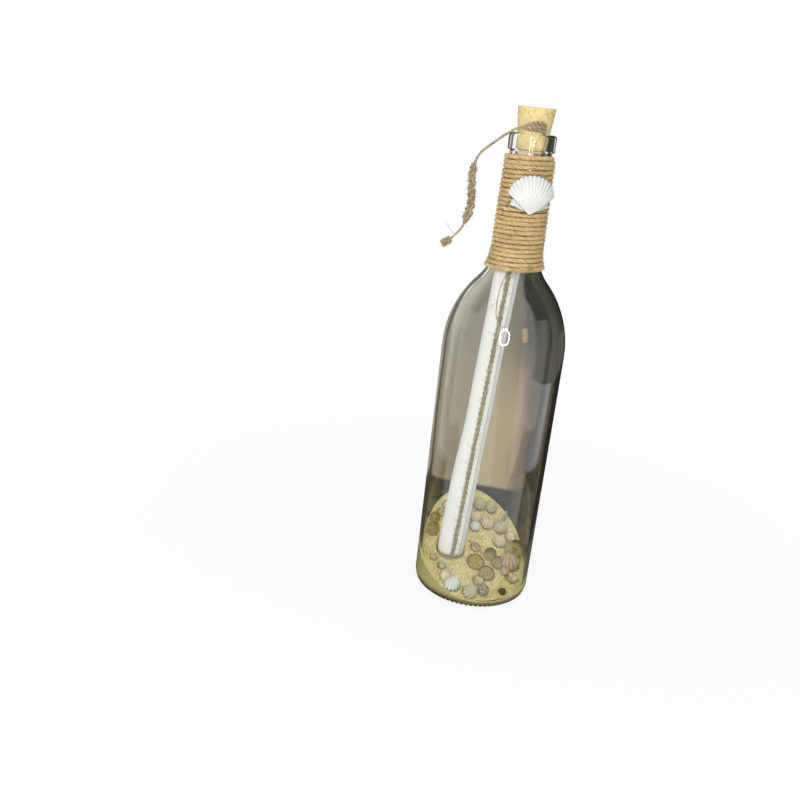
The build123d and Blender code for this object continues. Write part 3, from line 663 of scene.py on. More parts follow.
# %% Sizes that the pieces share with the frame
body_radius = 37.5 * mm
glass_wall = 2.5 * mm
bottle_height = 290 * mm
shoulder_height, shoulder_radius, shoulder_turn = 163 * mm, 64 * mm, radians(42)
neck_root_radius, neck_top_radius, neck_wall = 13.1 * mm, 12.1 * mm, 2.0 * mm
bore_radius, bore_depth = 9.25 * mm, 20 * mm
finish_radius, finish_height, finish_step, lip_rounding = 13.6 * mm, 9 * mm, 1 * mm, 2 * mm
heel_radius, inner_heel_radius, foot_width, punt_depth = 6 * mm, 4.5 * mm, 4 * mm, 9 * mm
inside_radius = body_radius - glass_wall
hollow_radius = (body_radius - shoulder_radius * (1 - cos(shoulder_turn)) - neck_root_radius) / (1 - cos(shoulder_turn))
neck_root_height = shoulder_height + (shoulder_radius + hollow_radius) * sin(shoulder_turn)
finish_base = bottle_height - finish_height
foot_outer = body_radius - heel_radius
foot_inner = foot_outer - foot_width

# %% [markdown]
# ## The bottle
# A bottle is turned: one outline swept round an axis. The outline runs from under the punt, round
# the heel, up the side, over the lip and back down the inside, so the glass has a true wall, and
# light bends twice in it as it does in a real one.

# %% Outline helpers
def arc_points(centre, radius, start, end, steps):
    """Points on an arc between two angles, with both ends."""
    return [
        (centre[0] + radius * cos(start + (end - start) * step / steps),
         centre[1] + radius * sin(start + (end - start) * step / steps))
        for step in range(steps + 1)
    ]


def line_points(start, end, steps):
    """Evenly spaced points on a line, without its ends."""
    return [tuple(a + (b - a) * step / steps for a, b in zip(start, end)) for step in range(1, steps)]


def dome_points(rise, height, steps):
    """The punt's dome from the axis out to the foot's inner edge."""
    radius = (foot_inner ** 2 + rise ** 2) / (2 * rise)
    reach = atan2(foot_inner, radius - rise)
    return arc_points((0, height + rise - radius), radius, pi / 2, pi / 2 - reach, steps)


def round_points(radius, height, around):
    """Points on a level circle round the upright axis."""
    return [Vector((radius * cos(tau * step / around), radius * sin(tau * step / around), height))
            for step in range(around)]


def skin_faces(rings, around):
    """The faces between rings of points, one after another; a ring of one point closes the skin there."""
    faces = []
    for first, second in zip(rings, rings[1:]):
        for step in range(around):
            after = (step + 1) % around
            loop = (first[step % len(first)], first[after % len(first)],
                    second[after % len(second)], second[step % len(second)])
            faces.append([corner for number, corner in enumerate(loop) if corner not in loop[:number]])
    return faces


on_axis = 0.001 * mm


def turned_piece(name, outline, around, material, warp=None, sharp=None):
    """An outline of (radius, height) turned about the upright axis; ends on the axis are closed there."""
    points, rings = [], []
    for radius, height in outline:
        ring = round_points(radius, height, around) if radius > on_axis else [Vector((0, 0, height))]
        ring = [warp(point) for point in ring] if warp and len(ring) > 1 else ring
        rings.append(range(len(points), len(points) + len(ring)))
        points += ring
    return mesh_piece(name, points, skin_faces(rings, around), material, sharp=sharp)


# %% Glass
def lets_light_through(tree, shader, tint):
    """Lets the rays that only light pass straight through a glass, tinted, so its shadow stays pale."""
    rays = add(tree, "ShaderNodeLightPath").outputs
    lit = math(tree, "MAXIMUM", rays["Is Shadow Ray"], rays["Is Diffuse Ray"])
    through = add(tree, "ShaderNodeBsdfTransparent", {"Color": tint})
    surfaced(tree, add(tree, "ShaderNodeMixShader", {0: lit, 1: shader, 2: through}))


clear_glass, tree, shader = new_material("clear_glass", base_color=(0.955, 0.965, 0.950, 1), roughness=0.0,
                                         transmission_weight=1.0, ior=1.5)
lets_light_through(tree, shader, (0.965, 0.972, 0.962, 1))

# %% Bottle
shoulder_centre = (body_radius - shoulder_radius, shoulder_height)
hollow_centre = (neck_root_radius + hollow_radius, neck_root_height)
outer = [
    *dome_points(punt_depth, 0, 16),
    (foot_outer, 0),
    *arc_points((foot_outer, heel_radius), heel_radius, -pi / 2, 0, 10)[1:],
    *line_points((body_radius, heel_radius), (body_radius, shoulder_height), 10),
    *arc_points(shoulder_centre, shoulder_radius, 0, shoulder_turn, 24),
    *arc_points(hollow_centre, hollow_radius, pi + shoulder_turn, pi, 14)[1:],
    *line_points((neck_root_radius, neck_root_height), (neck_top_radius, finish_base - finish_step), 6),
    (neck_top_radius, finish_base - finish_step),
    (finish_radius, finish_base),
    (finish_radius, (finish_base + bottle_height) / 2),
    *arc_points((finish_radius - lip_rounding, bottle_height - lip_rounding), lip_rounding, 0, pi / 2, 8),
]
inner_shoulder = arc_points(shoulder_centre, shoulder_radius - glass_wall, 0, shoulder_turn, 24)
inner_neck = (neck_root_radius - neck_wall, neck_root_height)
reach = (inner_neck[0] - inner_shoulder[-1][0], inner_neck[1] - inner_shoulder[-1][1])
root_radius = (reach[0] ** 2 + reach[1] ** 2) / (2 * (reach[0] * cos(shoulder_turn) + reach[1] * sin(shoulder_turn)))
root_centre = (inner_shoulder[-1][0] + root_radius * cos(shoulder_turn),
               inner_shoulder[-1][1] + root_radius * sin(shoulder_turn))
root_end = atan2(inner_neck[1] - root_centre[1], inner_neck[0] - root_centre[0]) % tau
bore_edge = 0.6 * mm
inner = [
    *dome_points(punt_depth, glass_wall, 16),
    *arc_points((inside_radius - inner_heel_radius, glass_wall + inner_heel_radius), inner_heel_radius,
                -pi / 2, 0, 8),
    *line_points((inside_radius, glass_wall + inner_heel_radius), (inside_radius, shoulder_height), 24),
    *inner_shoulder,
    *arc_points(root_centre, root_radius, pi + shoulder_turn, root_end, 12)[1:],
    (bore_radius, bottle_height - bore_depth),
    (bore_radius, bottle_height - lip_rounding),
    *arc_points((bore_radius + bore_edge, bottle_height - bore_edge), bore_edge, pi, pi / 2, 5),
]
sand_top = 50 * mm
wave_size, wave_depth = 22.0, 0.35 * mm


def wavy_inside(point):
    """Blown glass is even outside, where the mould shaped it, and a little wavy inside."""
    radius = hypot(point.x, point.y)
    if point.z < sand_top or point.z > finish_base or radius > inside_radius + glass_wall / 3:
        return point
    rise = min(1, (point.z - sand_top) / sand_top, (finish_base - point.z) / sand_top)
    inside = radius < inside_radius_at(point.z) + glass_wall / 3
    wave = noise.noise(point * wave_size) * wave_depth * rise * inside
    return Vector((point.x * (1 + wave / radius), point.y * (1 + wave / radius), point.z))


def inside_radius_at(height):
    """The bottle's inside radius at a height above the heel."""
    for (radius, low), (next_radius, high) in zip(inner, inner[1:]):
        if low <= height <= high and high > low:
            return radius + (next_radius - radius) * (height - low) / (high - low)
    return bore_radius


bottle = turned_piece("glass_bottle", outer + inner[::-1], 256, clear_glass, wavy_inside, 35)

# %% Ticks under the heel
tick_count, tick_size, tick_slope, tick_sink = 72, (2.6 * mm, 1.7 * mm, 1.0 * mm), radians(-40), 0.05 * mm
tick_tree, given = geometry_tree("ticks", [
    ("Count", "Int", tick_count), ("Reach", "Float", 34 * mm), ("Material", "Material", None)])
tree = tick_tree
tick_ring = add(tree, "GeometryNodeMeshCircle", {"Vertices": given["Count"], "Radius": given["Reach"]})
tick_number = add(tree, "GeometryNodeInputIndex")
tick_angle = math(tree, "DIVIDE", times(tree, tick_number, tau), given["Count"])
tick_turn = add(tree, "FunctionNodeEulerToRotation", {0: add(tree, "ShaderNodeCombineXYZ", {"Z": tick_angle})})
tick_block = add(tree, "GeometryNodeMeshCube", {"Size": tick_size})
tick_slant = add(tree, "GeometryNodeTransform", {"Geometry": tick_block, "Rotation": (0, tick_slope, 0)})
ticks = add(tree, "GeometryNodeInstanceOnPoints", {
    "Points": tick_ring, "Instance": tick_slant, "Rotation": tick_turn})
finish_tree(tree, ticks, given["Material"])
# Painted shade: the heel's knurls are coloured near black, for the shadow that they meet under the heel.
tick_glass, tree, shader = new_material("tick_glass", base_color=colour(30, 32, 24), roughness=0.3)
tick_skin = add(tree, "ShaderNodeTexNoise", {"Vector": object_place(tree), "Scale": 900.0})
bumped(tree, shader, 0.4, 0.1 * mm, tick_skin)
heel_slope = radians(50)
tick_reach = foot_outer + heel_radius * cos(heel_slope)
tick_carrier = mesh_piece("tick_carrier", [(0, 0, 0), (mm, 0, 0), (0, mm, 0)], [(0, 1, 2)], tick_glass)
heel_ticks = run_tree(tick_tree, tick_carrier, "heel_ticks", count=tick_count, reach=tick_reach,
                     material=tick_glass)
heel_ticks.data.transform(Matrix.Translation((0, 0, heel_radius * (1 - sin(heel_slope)) + tick_sink)))
bottle = joined("glass_bottle", [bottle, heel_ticks])
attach(bottle, "bottle")
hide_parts("bottle", "bottle_neck")

# %% [markdown]
# ## The winding on the neck
# One long twine is wound from the shoulder up to the lip's band, each turn pressed against the last.
# The route is a helix that follows the glass, and the same twine tree gives it its plies.

# %% Winding
wrap_foot, wrap_top = 213.0 * mm, 277.6 * mm
wrap_pitch = 2.6 * mm
wrap_radius = 1.3 * mm
wrap_steps = 22
wrap_gap = 0.06 * mm
wrap_start = radians(120)
wrap_sag, sag_fineness = 0.45, 0.9


def glass_radius(height):
    """The outside of the neck at a height, and down the hollow below it."""
    if height >= neck_root_height:
        share = (height - neck_root_height) / (finish_base - finish_step - neck_root_height)
        return neck_root_radius + (neck_top_radius - neck_root_radius) * share
    return hollow_centre[0] - sqrt(hollow_radius ** 2 - (neck_root_height - height) ** 2)


wrap_turns = (wrap_top - wrap_foot) / wrap_pitch
wrap_line = []
for step in range(round(wrap_turns * wrap_steps) + 1):
    turn = step / wrap_steps
    sag = noise.noise(Vector((turn * sag_fineness, 3.1, 0.2))) * wrap_sag * mm
    height = wrap_foot + wrap_pitch * turn + sag
    radius = glass_radius(height) + wrap_radius + wrap_gap
    angle = wrap_start + tau * turn
    wrap_line.append(Vector((radius * sin(angle), -radius * cos(angle), height)))
wrap = twine_along("neck_winding", wrap_line, golden_twine, ply=0.70, twist=0.66, lay=7.6, step=0.85, rough=0.16,
                   seed=5, plies=3, sides=6)
wrap = with_fibres(wrap, golden_twine, density=9.0e4, length=3.0, thickness=0.10, seed=4)
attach(wrap, "bottle")
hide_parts("neck_wrap")

# %% [markdown]
# ## The cork
# Cork is punched from bark, so its side shows dark pits and short streaks. Pits are real hollows: the
# turned mesh is fine enough to be pushed in wherever a noise is high. The twine lies in a groove of
# its own, because the cork gives where the twine is pinched.

# %% Places round the bottle's axis
def polar(radius, side, height):
    """A point at a radius and a height, side degrees to the right of the front."""
    return Vector((radius * sin(radians(side)), -radius * cos(radians(side)), height))


cork_foot, cork_top = 281 * mm, 304.3 * mm
cork_taper = radians(7)
cork_edge = 0.5 * mm
strand_radius = 0.75 * mm
strand_side = 48


def cork_radius(height):
    """The cork's radius at a height; at the lip it just clears the bore."""
    return bore_radius - 0.1 * mm + (height - bottle_height) * tan(cork_taper)


groove_foot = polar(cork_radius(cork_foot) - strand_radius - 0.2 * mm, strand_side, cork_foot)
groove_top = polar(cork_radius(bottle_height) - strand_radius, strand_side, bottle_height + strand_radius)
front_reach = cork_radius(bottle_height + 4 * mm) + strand_radius
front_points = [polar(front_reach * share, side, bottle_height + rise * mm)
                for share, side, rise in ((0.99, 36, 3.4), (1.04, 15, 4.2), (1.04, -6, 4.3))]
held_line = points_along(curve_through("held_route", [groove_foot, groove_top, *front_points, twine_exit]))
print("cork", round((cork_top - cork_foot) / mm, 1), "mm long, held twine", round(length_of(held_line) / mm, 1), "mm")

# %% Cork material
cork_skin, tree, shader = new_material("cork_skin", roughness=0.78, specular_ior_level=0.3)
bark = grainy(tree, object_place(tree), 420.0, 6.0, Roughness=0.6)
bark_tone = ramp(tree, bark, (0.30, colour(204, 178, 112)), (0.48, colour(230, 208, 148)),
                 (0.70, colour(240, 224, 172)))
lenticels = add(tree, "ShaderNodeMapping", {"Vector": object_place(tree), "Scale": (1.0, 1.0, 0.28)})
dark_streak = from_to(tree, grainy(tree, lenticels, 640.0, 3.0), 0.70, 0.78)
cork_tone = blended(tree, dark_streak, bark_tone, colour(150, 118, 66))
dressed(tree, shader, cork_tone, 0.6, 0.25 * mm, bark)


# %% Cork
pit_fineness, pit_limit, pit_depth, press_room = 620, 0.36, 1.2, 0.25 * mm


def pitted(point):
    """A point of the cork's skin, pushed in at pits and where the twine presses."""
    pit = max(0.0, noise.noise(point * pit_fineness) - pit_limit) * pit_depth * mm
    nearest = min((knot - point).length for knot in held_line[::3])
    press = max(0.0, strand_radius + press_room - nearest)
    radius = hypot(point.x, point.y)
    share = max(0.0, 1 - (pit + press) / radius)
    return Vector((point.x * share, point.y * share, point.z))


cork_corners = [
    (0, cork_foot), (cork_radius(cork_foot) - cork_edge, cork_foot),
    *((cork_radius(height), height) for height in (cork_foot + cork_edge, cork_top - cork_edge)),
    (cork_radius(cork_top) - cork_edge, cork_top), (0, cork_top),
]
cork_outline = cork_corners[:1]
for start, end, steps in zip(cork_corners, cork_corners[1:], (6, 1, 44, 1, 14)):
    cork_outline += [*line_points(start, end, steps), end]
cork = turned_piece("tapered_cork", cork_outline, 150, cork_skin, pitted)
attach(cork, "cork")
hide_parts("cork")

# %% Twine on the cork
arch_end, arch_fullness = 1.02, 0.35
band_strands = []
for number, (rise, stand_off) in enumerate(((0, 0), (2.0 * mm, 0.3 * mm), (-1.9 * mm, 0.25 * mm))):
    line = []
    for place, point in enumerate(held_line):
        share = sin(pi * min(1, place / len(held_line) * arch_end)) ** arch_fullness
        outward = Vector((point.x, point.y, 0)).normalized()
        line.append(point + Vector((0, 0, rise * share)) + outward * stand_off * share)
    first = 0 if number == 0 else len(line) // 3
    band_strands.append(twine_along(f"band_{number}", line[first:], brown_twine, ply=0.56, twist=0.62, lay=4.6,
                                    step=0.35, rough=0.15, seed=number + 1))
band = with_fibres(joined("cork_twine_band", band_strands), brown_twine, density=1.2e5, length=2.6, thickness=0.07,
                   seed=7)
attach(band, "cork")
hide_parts("cork_twine")

# %% [markdown]
# ## The rolled letter
# A rolled sheet is one long strip seen from its end as a spiral. It is made that way: each row of the
# mesh follows the spiral, and Solidify gives the paper its thickness. The turns never line up, so
# each end of the roll steps in and out a little, and the free edge shows as a line down the front.

# %% The roll's own axis
roll_root = Vector((-2.86, -0.62, 0)) * mm + Vector((0, 0, neck_root_height))
roll_mouth = Vector((0.8 * mm, 0.6 * mm, bottle_height))
roll_up = (roll_mouth - roll_root).normalized()
roll_foot_height = 21.5 * mm
roll_foot = roll_root - roll_up * ((neck_root_height - roll_foot_height) / roll_up.z)
roll_right = (Vector((1, 0, 0)) - roll_up * roll_up.x).normalized()
roll_back = roll_up.cross(roll_right)
paper_length, roll_radius = 210 * mm, 7.9 * mm
tie_side = radians(8)
print("roll leans", round(degrees(roll_up.angle(Vector((0, 0, 1)))), 1), "degrees")


def roll_place(radius, side, along):
    """A point at a radius from the roll's axis, side radians to the right of its front."""
    return roll_foot + roll_right * radius * sin(side) - roll_back * radius * cos(side) + roll_up * along


# %% Paper
letter_paper, tree, shader = new_material("letter_paper", roughness=0.7, specular_ior_level=0.3)
pulp = grainy(tree, object_place(tree), 900.0, 5.0, Roughness=0.65)
paper_tone = ramp(tree, pulp, (0.3, colour(228, 226, 221)), (0.6, colour(246, 245, 242)))
toning = placed(tree, blotches, scale=38.0, low=0.42, high=0.68)["mask"]
paper_tone = blended(tree, times(tree, toning, 0.25), paper_tone, colour(236, 226, 212))
# Darker and warmer along the sheet's free edge and at the roll's two ends.
paper_tone = blended(tree, attribute(tree, "edge"), paper_tone, colour(226, 214, 202))
dressed(tree, shader, paper_tone, 0.35, 0.1 * mm, pulp)

# %% Rolled sheet
roll_turns, roll_pitch = 4.3, 0.36 * mm
roll_flare, roll_give, flare_foot, flare_top = 2.0 * mm, 0.35 * mm, 45 * mm, 92 * mm
free_edge, paper_wall = radians(46), 0.14 * mm
end_step, lifted_corner, sheet_wave, edge_lift, skin_room = 0.9 * mm, 4.5 * mm, 0.16 * mm, 0.10 * mm, 0.22 * mm
corner_turn, lift_turn, wave_length, lift_length = 0.07, 0.05, 28 * mm, 20 * mm
edge_turn, end_darkening = 0.012, 0.6
around_steps, along_steps = 40, 84
columns = round(roll_turns * around_steps)


def flared(along, side):
    """How far the roll's outer turn stands off on its left side, where it has sprung open above the sand."""
    share = min(1.0, max(0.0, (flare_top - along) / (flare_top - flare_foot)))
    return (roll_flare * max(0.0, -sin(side)) + roll_give * max(0.0, sin(side))) * share * share * (3 - 2 * share)


def sheet_point(column, row):
    """A point of the rolled sheet; columns run inwards from the free edge and rows up the roll."""
    turn = column / around_steps
    side = free_edge - tau * turn
    share = row / along_steps
    foot_shift = (noise.noise(Vector((turn * 2.1, 0, 4))) + 0.4) * end_step
    top_shift = (noise.noise(Vector((turn * 1.7, 9, 1))) - 0.4) * end_step
    corner = lifted_corner * max(0.0, 1 - turn / corner_turn) ** 2
    along = foot_shift + corner + (paper_length + top_shift - foot_shift - corner) * share
    wave = noise.noise(Vector((turn * 3.0, along / wave_length, 2))) * sheet_wave
    lift = edge_lift * max(0.0, 1 - turn / lift_turn) * (1 + noise.noise(Vector((0, along / lift_length, 7))))
    radius = roll_radius - skin_room - roll_pitch * turn + wave + lift + flared(along, side) * (1 - turn / roll_turns)
    return roll_place(radius, side, along)


def walled(piece, thickness, offset):
    """Gives a piece that is a bare surface a wall."""
    wall = piece.modifiers.new("wall", "SOLIDIFY")
    wall.thickness, wall.offset = thickness, offset


sheet_points = [sheet_point(column, row) for column in range(columns + 1) for row in range(along_steps + 1)]
roll = mesh_piece("rolled_letter", sheet_points, grid_faces(columns, along_steps), letter_paper)
stored(roll, "edge", [
    min(1.0, max(0.0, 1 - column / around_steps / edge_turn, (1 - min(row, along_steps - row)) * end_darkening))
    for column in range(columns + 1) for row in range(along_steps + 1)
])
walled(roll, paper_wall, 0)
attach(roll, "message")
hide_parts("message_scroll")
print("sheet", round(tau * (roll_radius - roll_pitch * roll_turns / 2) * roll_turns / mm), "mm wide rolled up")

# %% [markdown]
# ## The letter's tie
# The doubled twine runs up the front of the roll, over its top and back down its hollow core. A round
# twist would stand too far out to pass the neck, so the twisted mesh is pressed flat where it lies.

# %% Tie
tie_thickness, tie_gap = 1.3 * mm, 0.05 * mm
tie_end = tie_gap + tie_thickness / 2
tie_reach = roll_radius + tie_end
tie_corner = 0.8 * mm
tie_part = 3 * mm


def tie_place(out, along):
    """A point of the plane that the tie lies in."""
    return roll_place(out, tie_side, along)


tie_low, tie_high = -tie_end + tie_corner, paper_length + tie_end - tie_corner
tie_turns = (((tie_reach - tie_corner, tie_high), 0), ((tie_corner, tie_high), pi / 2),
             ((tie_corner, tie_low), pi), ((tie_reach - tie_corner, tie_low), 3 * pi / 2))
tie_loop = [tie_place(*point) for centre, start in tie_turns
            for point in arc_points(centre, tie_corner, start, start + pi / 2, 4)]
tie_line = []
for first, second in zip(tie_loop, tie_loop[1:] + tie_loop[:1]):
    parts = max(1, round((second - first).length / tie_part))
    tie_line += [first.lerp(second, step / parts) for step in range(parts)]
tie = twine_along("letter_tie", tie_line, green_twine, ply=0.76, twist=0.70, lay=6.8, step=0.7, rough=0.16, seed=11)
tie_out = roll_right * sin(tie_side) - roll_back * cos(tie_side)
flat_share = 0.42
for vertex in tie.data.vertices:
    offset = vertex.co - roll_foot
    along = offset.dot(roll_up)
    out = offset.dot(tie_out)
    if along > paper_length:
        vertex.co += roll_up * (along - paper_length - tie_end) * (flat_share - 1)
    elif along < 0:
        vertex.co += roll_up * (along + tie_end) * (flat_share - 1)
    if out > tie_reach / 2:
        vertex.co += tie_out * (out - tie_reach) * (flat_share - 1)
thread_points = [roll_place(roll_radius + 0.3 * mm, radians(side), along * mm) for side, along in (
    (6, 191), (-6, 187), (-14, 181), (-18, 174), (-15, 167), (-7, 162), (4, 160))]
thread = twine_along("loose_thread", curve_through("thread_route", thread_points), green_twine, ply=0.2, twist=0.0,
                     lay=5, step=0.5, rough=0.2, seed=2, plies=1, sides=6)
tie = with_fibres(joined("letter_tie", [tie, thread]), green_twine, density=1.2e5, length=5.5, thickness=0.24,
                  seed=12)
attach(tie, "message")
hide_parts("scroll_twine")

# %% Knot on the roll's end
knot_radius_top, knot_stand, knot_share = 2.2 * mm, 0.7, 0.72
knot_height = paper_length + tie_gap + tie_thickness + knot_radius_top * knot_stand
top_knot = knot_piece("letter_knot", [tie_place(0, knot_height)], [roll_up], knot_radius_top * knot_share, 60)
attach(top_knot, "message")
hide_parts("scroll_knot")

# %% Strand in the neck
lead_share = 0.45
knot_top = tie_place(0, knot_height + knot_radius_top)
groove_lead = groove_foot - (groove_top - groove_foot) * lead_share
neck_line = points_along(curve_through("neck_route", [knot_top, groove_lead, groove_foot]))
strand = twine_along("neck_strand_twine", neck_line, brown_twine, ply=0.42, twist=0.33, lay=4.0, step=0.4, rough=0.12,
                     seed=14)
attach(strand, "cork")
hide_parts("neck_strand")
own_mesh(strand)

# %% [markdown]
# ## Ribbed shells
# Scallops, clams and cockles share one plan: growth starts at the hinge and fans out, so every rib is
# a line from the hinge and every growth band an arc across the ribs. One function draws that fan as a
# grid over a dome, and stores how far each point is from the hinge and whether it is on a rib. The
# material reads both, so colour bands and grooves follow the shell and not the room.

# %% Ribbed shell
def turned_round(faces):
    """The same faces, seen from their other side."""
    return [(face[0], *face[:0:-1]) for face in faces]


rib_steps, edge_wave, rib_gather, rib_fullness = 8, 0.6, 0.75, 0.8
edge_scallop, growth_step, step_fineness = 6, 0.22, (14, 60)


def ribbed_shell(name, base, size, dome, ribs, rib_height, fan, material, wall, rows, edge_depth):
    """A ribbed shell in a base frame: x across, y away from the hinge, z out; dome gives its height."""
    half_x, half_y = size[0] / 2, size[1] / 2
    columns = ribs * rib_steps
    points, growth, ridges = [base @ Vector((0, -half_y, dome(0, -half_y)))], [0.0], [0.5]
    for row in range(1, rows + 1):
        share = row / rows
        for column in range(columns + 1):
            turn = radians(fan * (column / columns - 0.5))
            wave = 0.5 + 0.5 * cos(tau * ribs * (turn / radians(fan)) + pi * (ribs % 2 == 0))
            wave = wave if abs(turn) < radians(fan) / 2 else edge_wave
            angle = pi / 2 + turn
            reach = 2 * sin(angle) / half_y / ((cos(angle) / half_x) ** 2 + (sin(angle) / half_y) ** 2)
            reach *= share * (1 - edge_depth * (1 - wave) * share ** edge_scallop)
            x, y = reach * cos(angle), reach * sin(angle) - half_y
            ridge = rib_height * (wave ** rib_fullness - 1) * min(1, share * 1.6) ** rib_gather
            step = rib_height * growth_step * noise.noise(Vector((share * step_fineness[0], x * step_fineness[1], 5)))
            points.append(base @ Vector((-x, y, dome(-x, y) + ridge + step)))
            growth.append(share)
            ridges.append(wave)
    faces = [(0, 1 + column, 2 + column) for column in range(columns)]
    shell = mesh_piece(name, points, faces + turned_round(grid_faces(rows - 1, columns, 1)), material)
    stored(shell, "growth", growth)
    stored(shell, "ridge", ridges)
    walled(shell, wall, -1)
    return shell


growth_bands, band_share, groove_share, chalk_share = 16.0, 0.5, 0.6, 0.3


def shell_material(name, pale, band, groove, gloss):
    """Shell in three tones: its body, its growth bands and the shade in its grooves."""
    material, tree, shader = new_material(name, roughness=gloss, coat_weight=0.5, coat_roughness=0.12,
                                          specular_ior_level=0.5)
    drift = times(tree, grainy(tree, object_place(tree), 160.0, 4.0), 2.4)
    phase = math(tree, "ADD", times(tree, attribute(tree, "growth"), growth_bands), drift)
    swing = math(tree, "SINE", times(tree, phase, tau))
    ring = times(tree, math(tree, "ADD", swing, 1.0), 0.5)
    hollow = math(tree, "SUBTRACT", 1.0, attribute(tree, "ridge"))
    chalk = placed(tree, blotches, scale=210.0, low=0.5, high=0.72)["mask"]
    tone = pale
    for mask, most, other in ((ring, band_share, band), (hollow, groove_share, groove),
                              (chalk, chalk_share, colour(240, 236, 226))):
        tone = blended(tree, times(tree, mask, most), tone, other)
    dressed(tree, shader, tone, 0.35, 0.12 * mm, ring)
    return material


# %% Shell finishes
white_shell = shell_material("white_shell", colour(233, 233, 229), colour(222, 224, 224), colour(158, 168, 180), 0.28)
cream_shell = shell_material("cream_shell", colour(238, 228, 188), colour(172, 152, 98), colour(112, 98, 56), 0.36)
grey_shell = shell_material("grey_shell", colour(216, 208, 172), colour(146, 134, 94), colour(88, 80, 52), 0.34)
mauve_shell = shell_material("mauve_shell", colour(206, 180, 148), colour(150, 120, 92), colour(112, 88, 66), 0.36)

# %% [markdown]
# ## The scallop on the neck
# Its hinge points down and its fan opens up towards the lip. The dome is a cap of a ball, as in the
# frame, and the two ears are small flat wings beside the hinge, joined on as part of the same mesh.

# %% Scallop
scallop_side = 13
scallop_height = 257.8 * mm
scallop_size = (25 * mm, 20.6 * mm)
scallop_rise = 6 * mm
scallop_fan, ear_fan = 104, 42
solid_twine, seat_gap = 2.5 * mm, 0.05 * mm
wrap_reach = glass_radius(scallop_height - scallop_size[1] / 2) + (solid_twine / 2 + wrap_gap) + solid_twine / 2
shell_out = polar(1, scallop_side, 0)
shell_right = Vector((cos(radians(scallop_side)), sin(radians(scallop_side)), 0))
shell_seat = Matrix.Translation(shell_out * (wrap_reach + seat_gap) + Vector((0, 0, scallop_height))) @ Matrix(
    (shell_right, Vector((0, 0, 1)), shell_out)).transposed().to_4x4()
ball_radius = ((scallop_size[0] / 2) ** 2 + scallop_rise ** 2) / (2 * scallop_rise)


def scallop_dome(x, y):
    """The height of the scallop's ball over its seat."""
    return sqrt(max(0.0, ball_radius ** 2 - x * x - y * y)) - (ball_radius - scallop_rise)


fan_part = ribbed_shell("scallop_fan", shell_seat, scallop_size, scallop_dome, 15, 0.85 * mm, scallop_fan, white_shell,
                        0.9 * mm, rows=44, edge_depth=0.06)
ear_steps, ear_root, ear_length, ear_taper = 8, 3.4, 9.6, 1.3
ear_ripple, ear_sink = 0.14 * mm, 0.7 * mm
ears = []
for side in (-1, 1):
    points = []
    for row in range(ear_steps + 1):
        for column in range(ear_steps + 1):
            outward, low = column / ear_steps, row / ear_steps
            turn = radians(scallop_fan / 2 - 2 + (ear_fan / 2) * low)
            reach = (ear_root + (ear_length - ear_taper * low) * outward) * mm
            x, y = side * reach * sin(turn), reach * cos(turn) - scallop_size[1] / 2
            ridge = ear_ripple * sin(pi * 3 * low)
            points.append(shell_seat @ Vector((x, y, max(0, scallop_dome(x, y) - ear_sink) + ridge)))
    ear = mesh_piece("scallop_ear", points, [quad[::-side] for quad in grid_faces(ear_steps, ear_steps)], white_shell)
    stored(ear, "growth", [0.4] * len(points))
    stored(ear, "ridge", [0.8] * len(points))
    ears.append(ear)
scallop = joined("scallop", [fan_part, *ears])
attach(scallop, "bottle")
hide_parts("scallop_shell")

# %% [markdown]
# ## Glue
# Set glue shows as olive, half-clear patches on the winding, and as a pad behind the scallop. Each is
# a small dome laid on the winding's own curve, with a ragged edge.

# %% Glue material
set_glue, tree, shader = new_material("set_glue", roughness=0.16, alpha=0.72, specular_ior_level=0.6)
glue_cloud = grainy(tree, object_place(tree), 420.0, 4.0)
glue_tone = ramp(tree, glue_cloud, (0.35, colour(150, 142, 82)), (0.65, colour(206, 192, 132)))
dressed(tree, shader, glue_tone, 0.5, 0.3 * mm, glue_cloud)


# %% Glue
def row_of_rings(count, around, first=0):
    """The numbers of the points in rings that follow each other."""
    return [range(first + ring * around, first + (ring + 1) * around) for ring in range(count)]


glue_sink, glue_ragged, rag_fineness, glue_fullness = 0.25 * mm, 0.28, 1.6, 2.5


def glue_patch(side, height, wide, tall, thick, seed):
    """A dome of glue on the winding, side degrees to the right of the front."""
    points, rings, spokes = [], 8, 28
    for ring in range(rings + 1):
        for spoke in range(spokes):
            angle = tau * spoke / spokes
            rag = noise.noise(Vector((cos(angle) * rag_fineness, sin(angle) * rag_fineness, seed)))
            ragged = 1 + glue_ragged * rag
            share = ring / rings
            along, up = wide / 2 * share * ragged * cos(angle), height + tall / 2 * share * ragged * sin(angle)
            base = glass_radius(up) + 2 * wrap_radius - glue_sink
            points.append(polar(base + thick * (1 - share ** glue_fullness), side + degrees(along / base), up))
    faces = turned_round(skin_faces(row_of_rings(rings + 1, spokes), spokes))
    return mesh_piece("glue_patch", points, faces, set_glue)


glue = joined("glue_patches", [glue_patch(side, height * mm, wide * mm, tall * mm, thick * mm, seed)
                               for seed, (side, height, wide, tall, thick) in enumerate((
                                   (scallop_side, 257.5, 11, 11, 3.4), (-30, 251, 4.4, 3.2, 0.9),
                                   (38, 268, 4.2, 2.6, 0.8), (26, 216.5, 9, 2.4, 0.8), (-72, 222, 6, 8, 0.7)))])
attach(glue, "bottle")
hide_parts("shell_glue")

# %% [markdown]
# ## The sand
# Dry sand poured to one side lies in a shallow bowl at its angle of repose. These sizes and sums
# give its height anywhere, which the pieces on it need before the sand itself is made.

# %% The sand's surface
sand_bite = 0.2 * mm
bowl_radius, bowl_angle, fall_side = 250 * mm, radians(33.2), radians(22.1)
slope_down = Vector((sin(fall_side), -cos(fall_side), 0))
slope_across = Vector((cos(fall_side), sin(fall_side), 0))
bowl_x, bowl_z = bowl_radius * sin(bowl_angle), 23.5 * mm + bowl_radius * cos(bowl_angle)


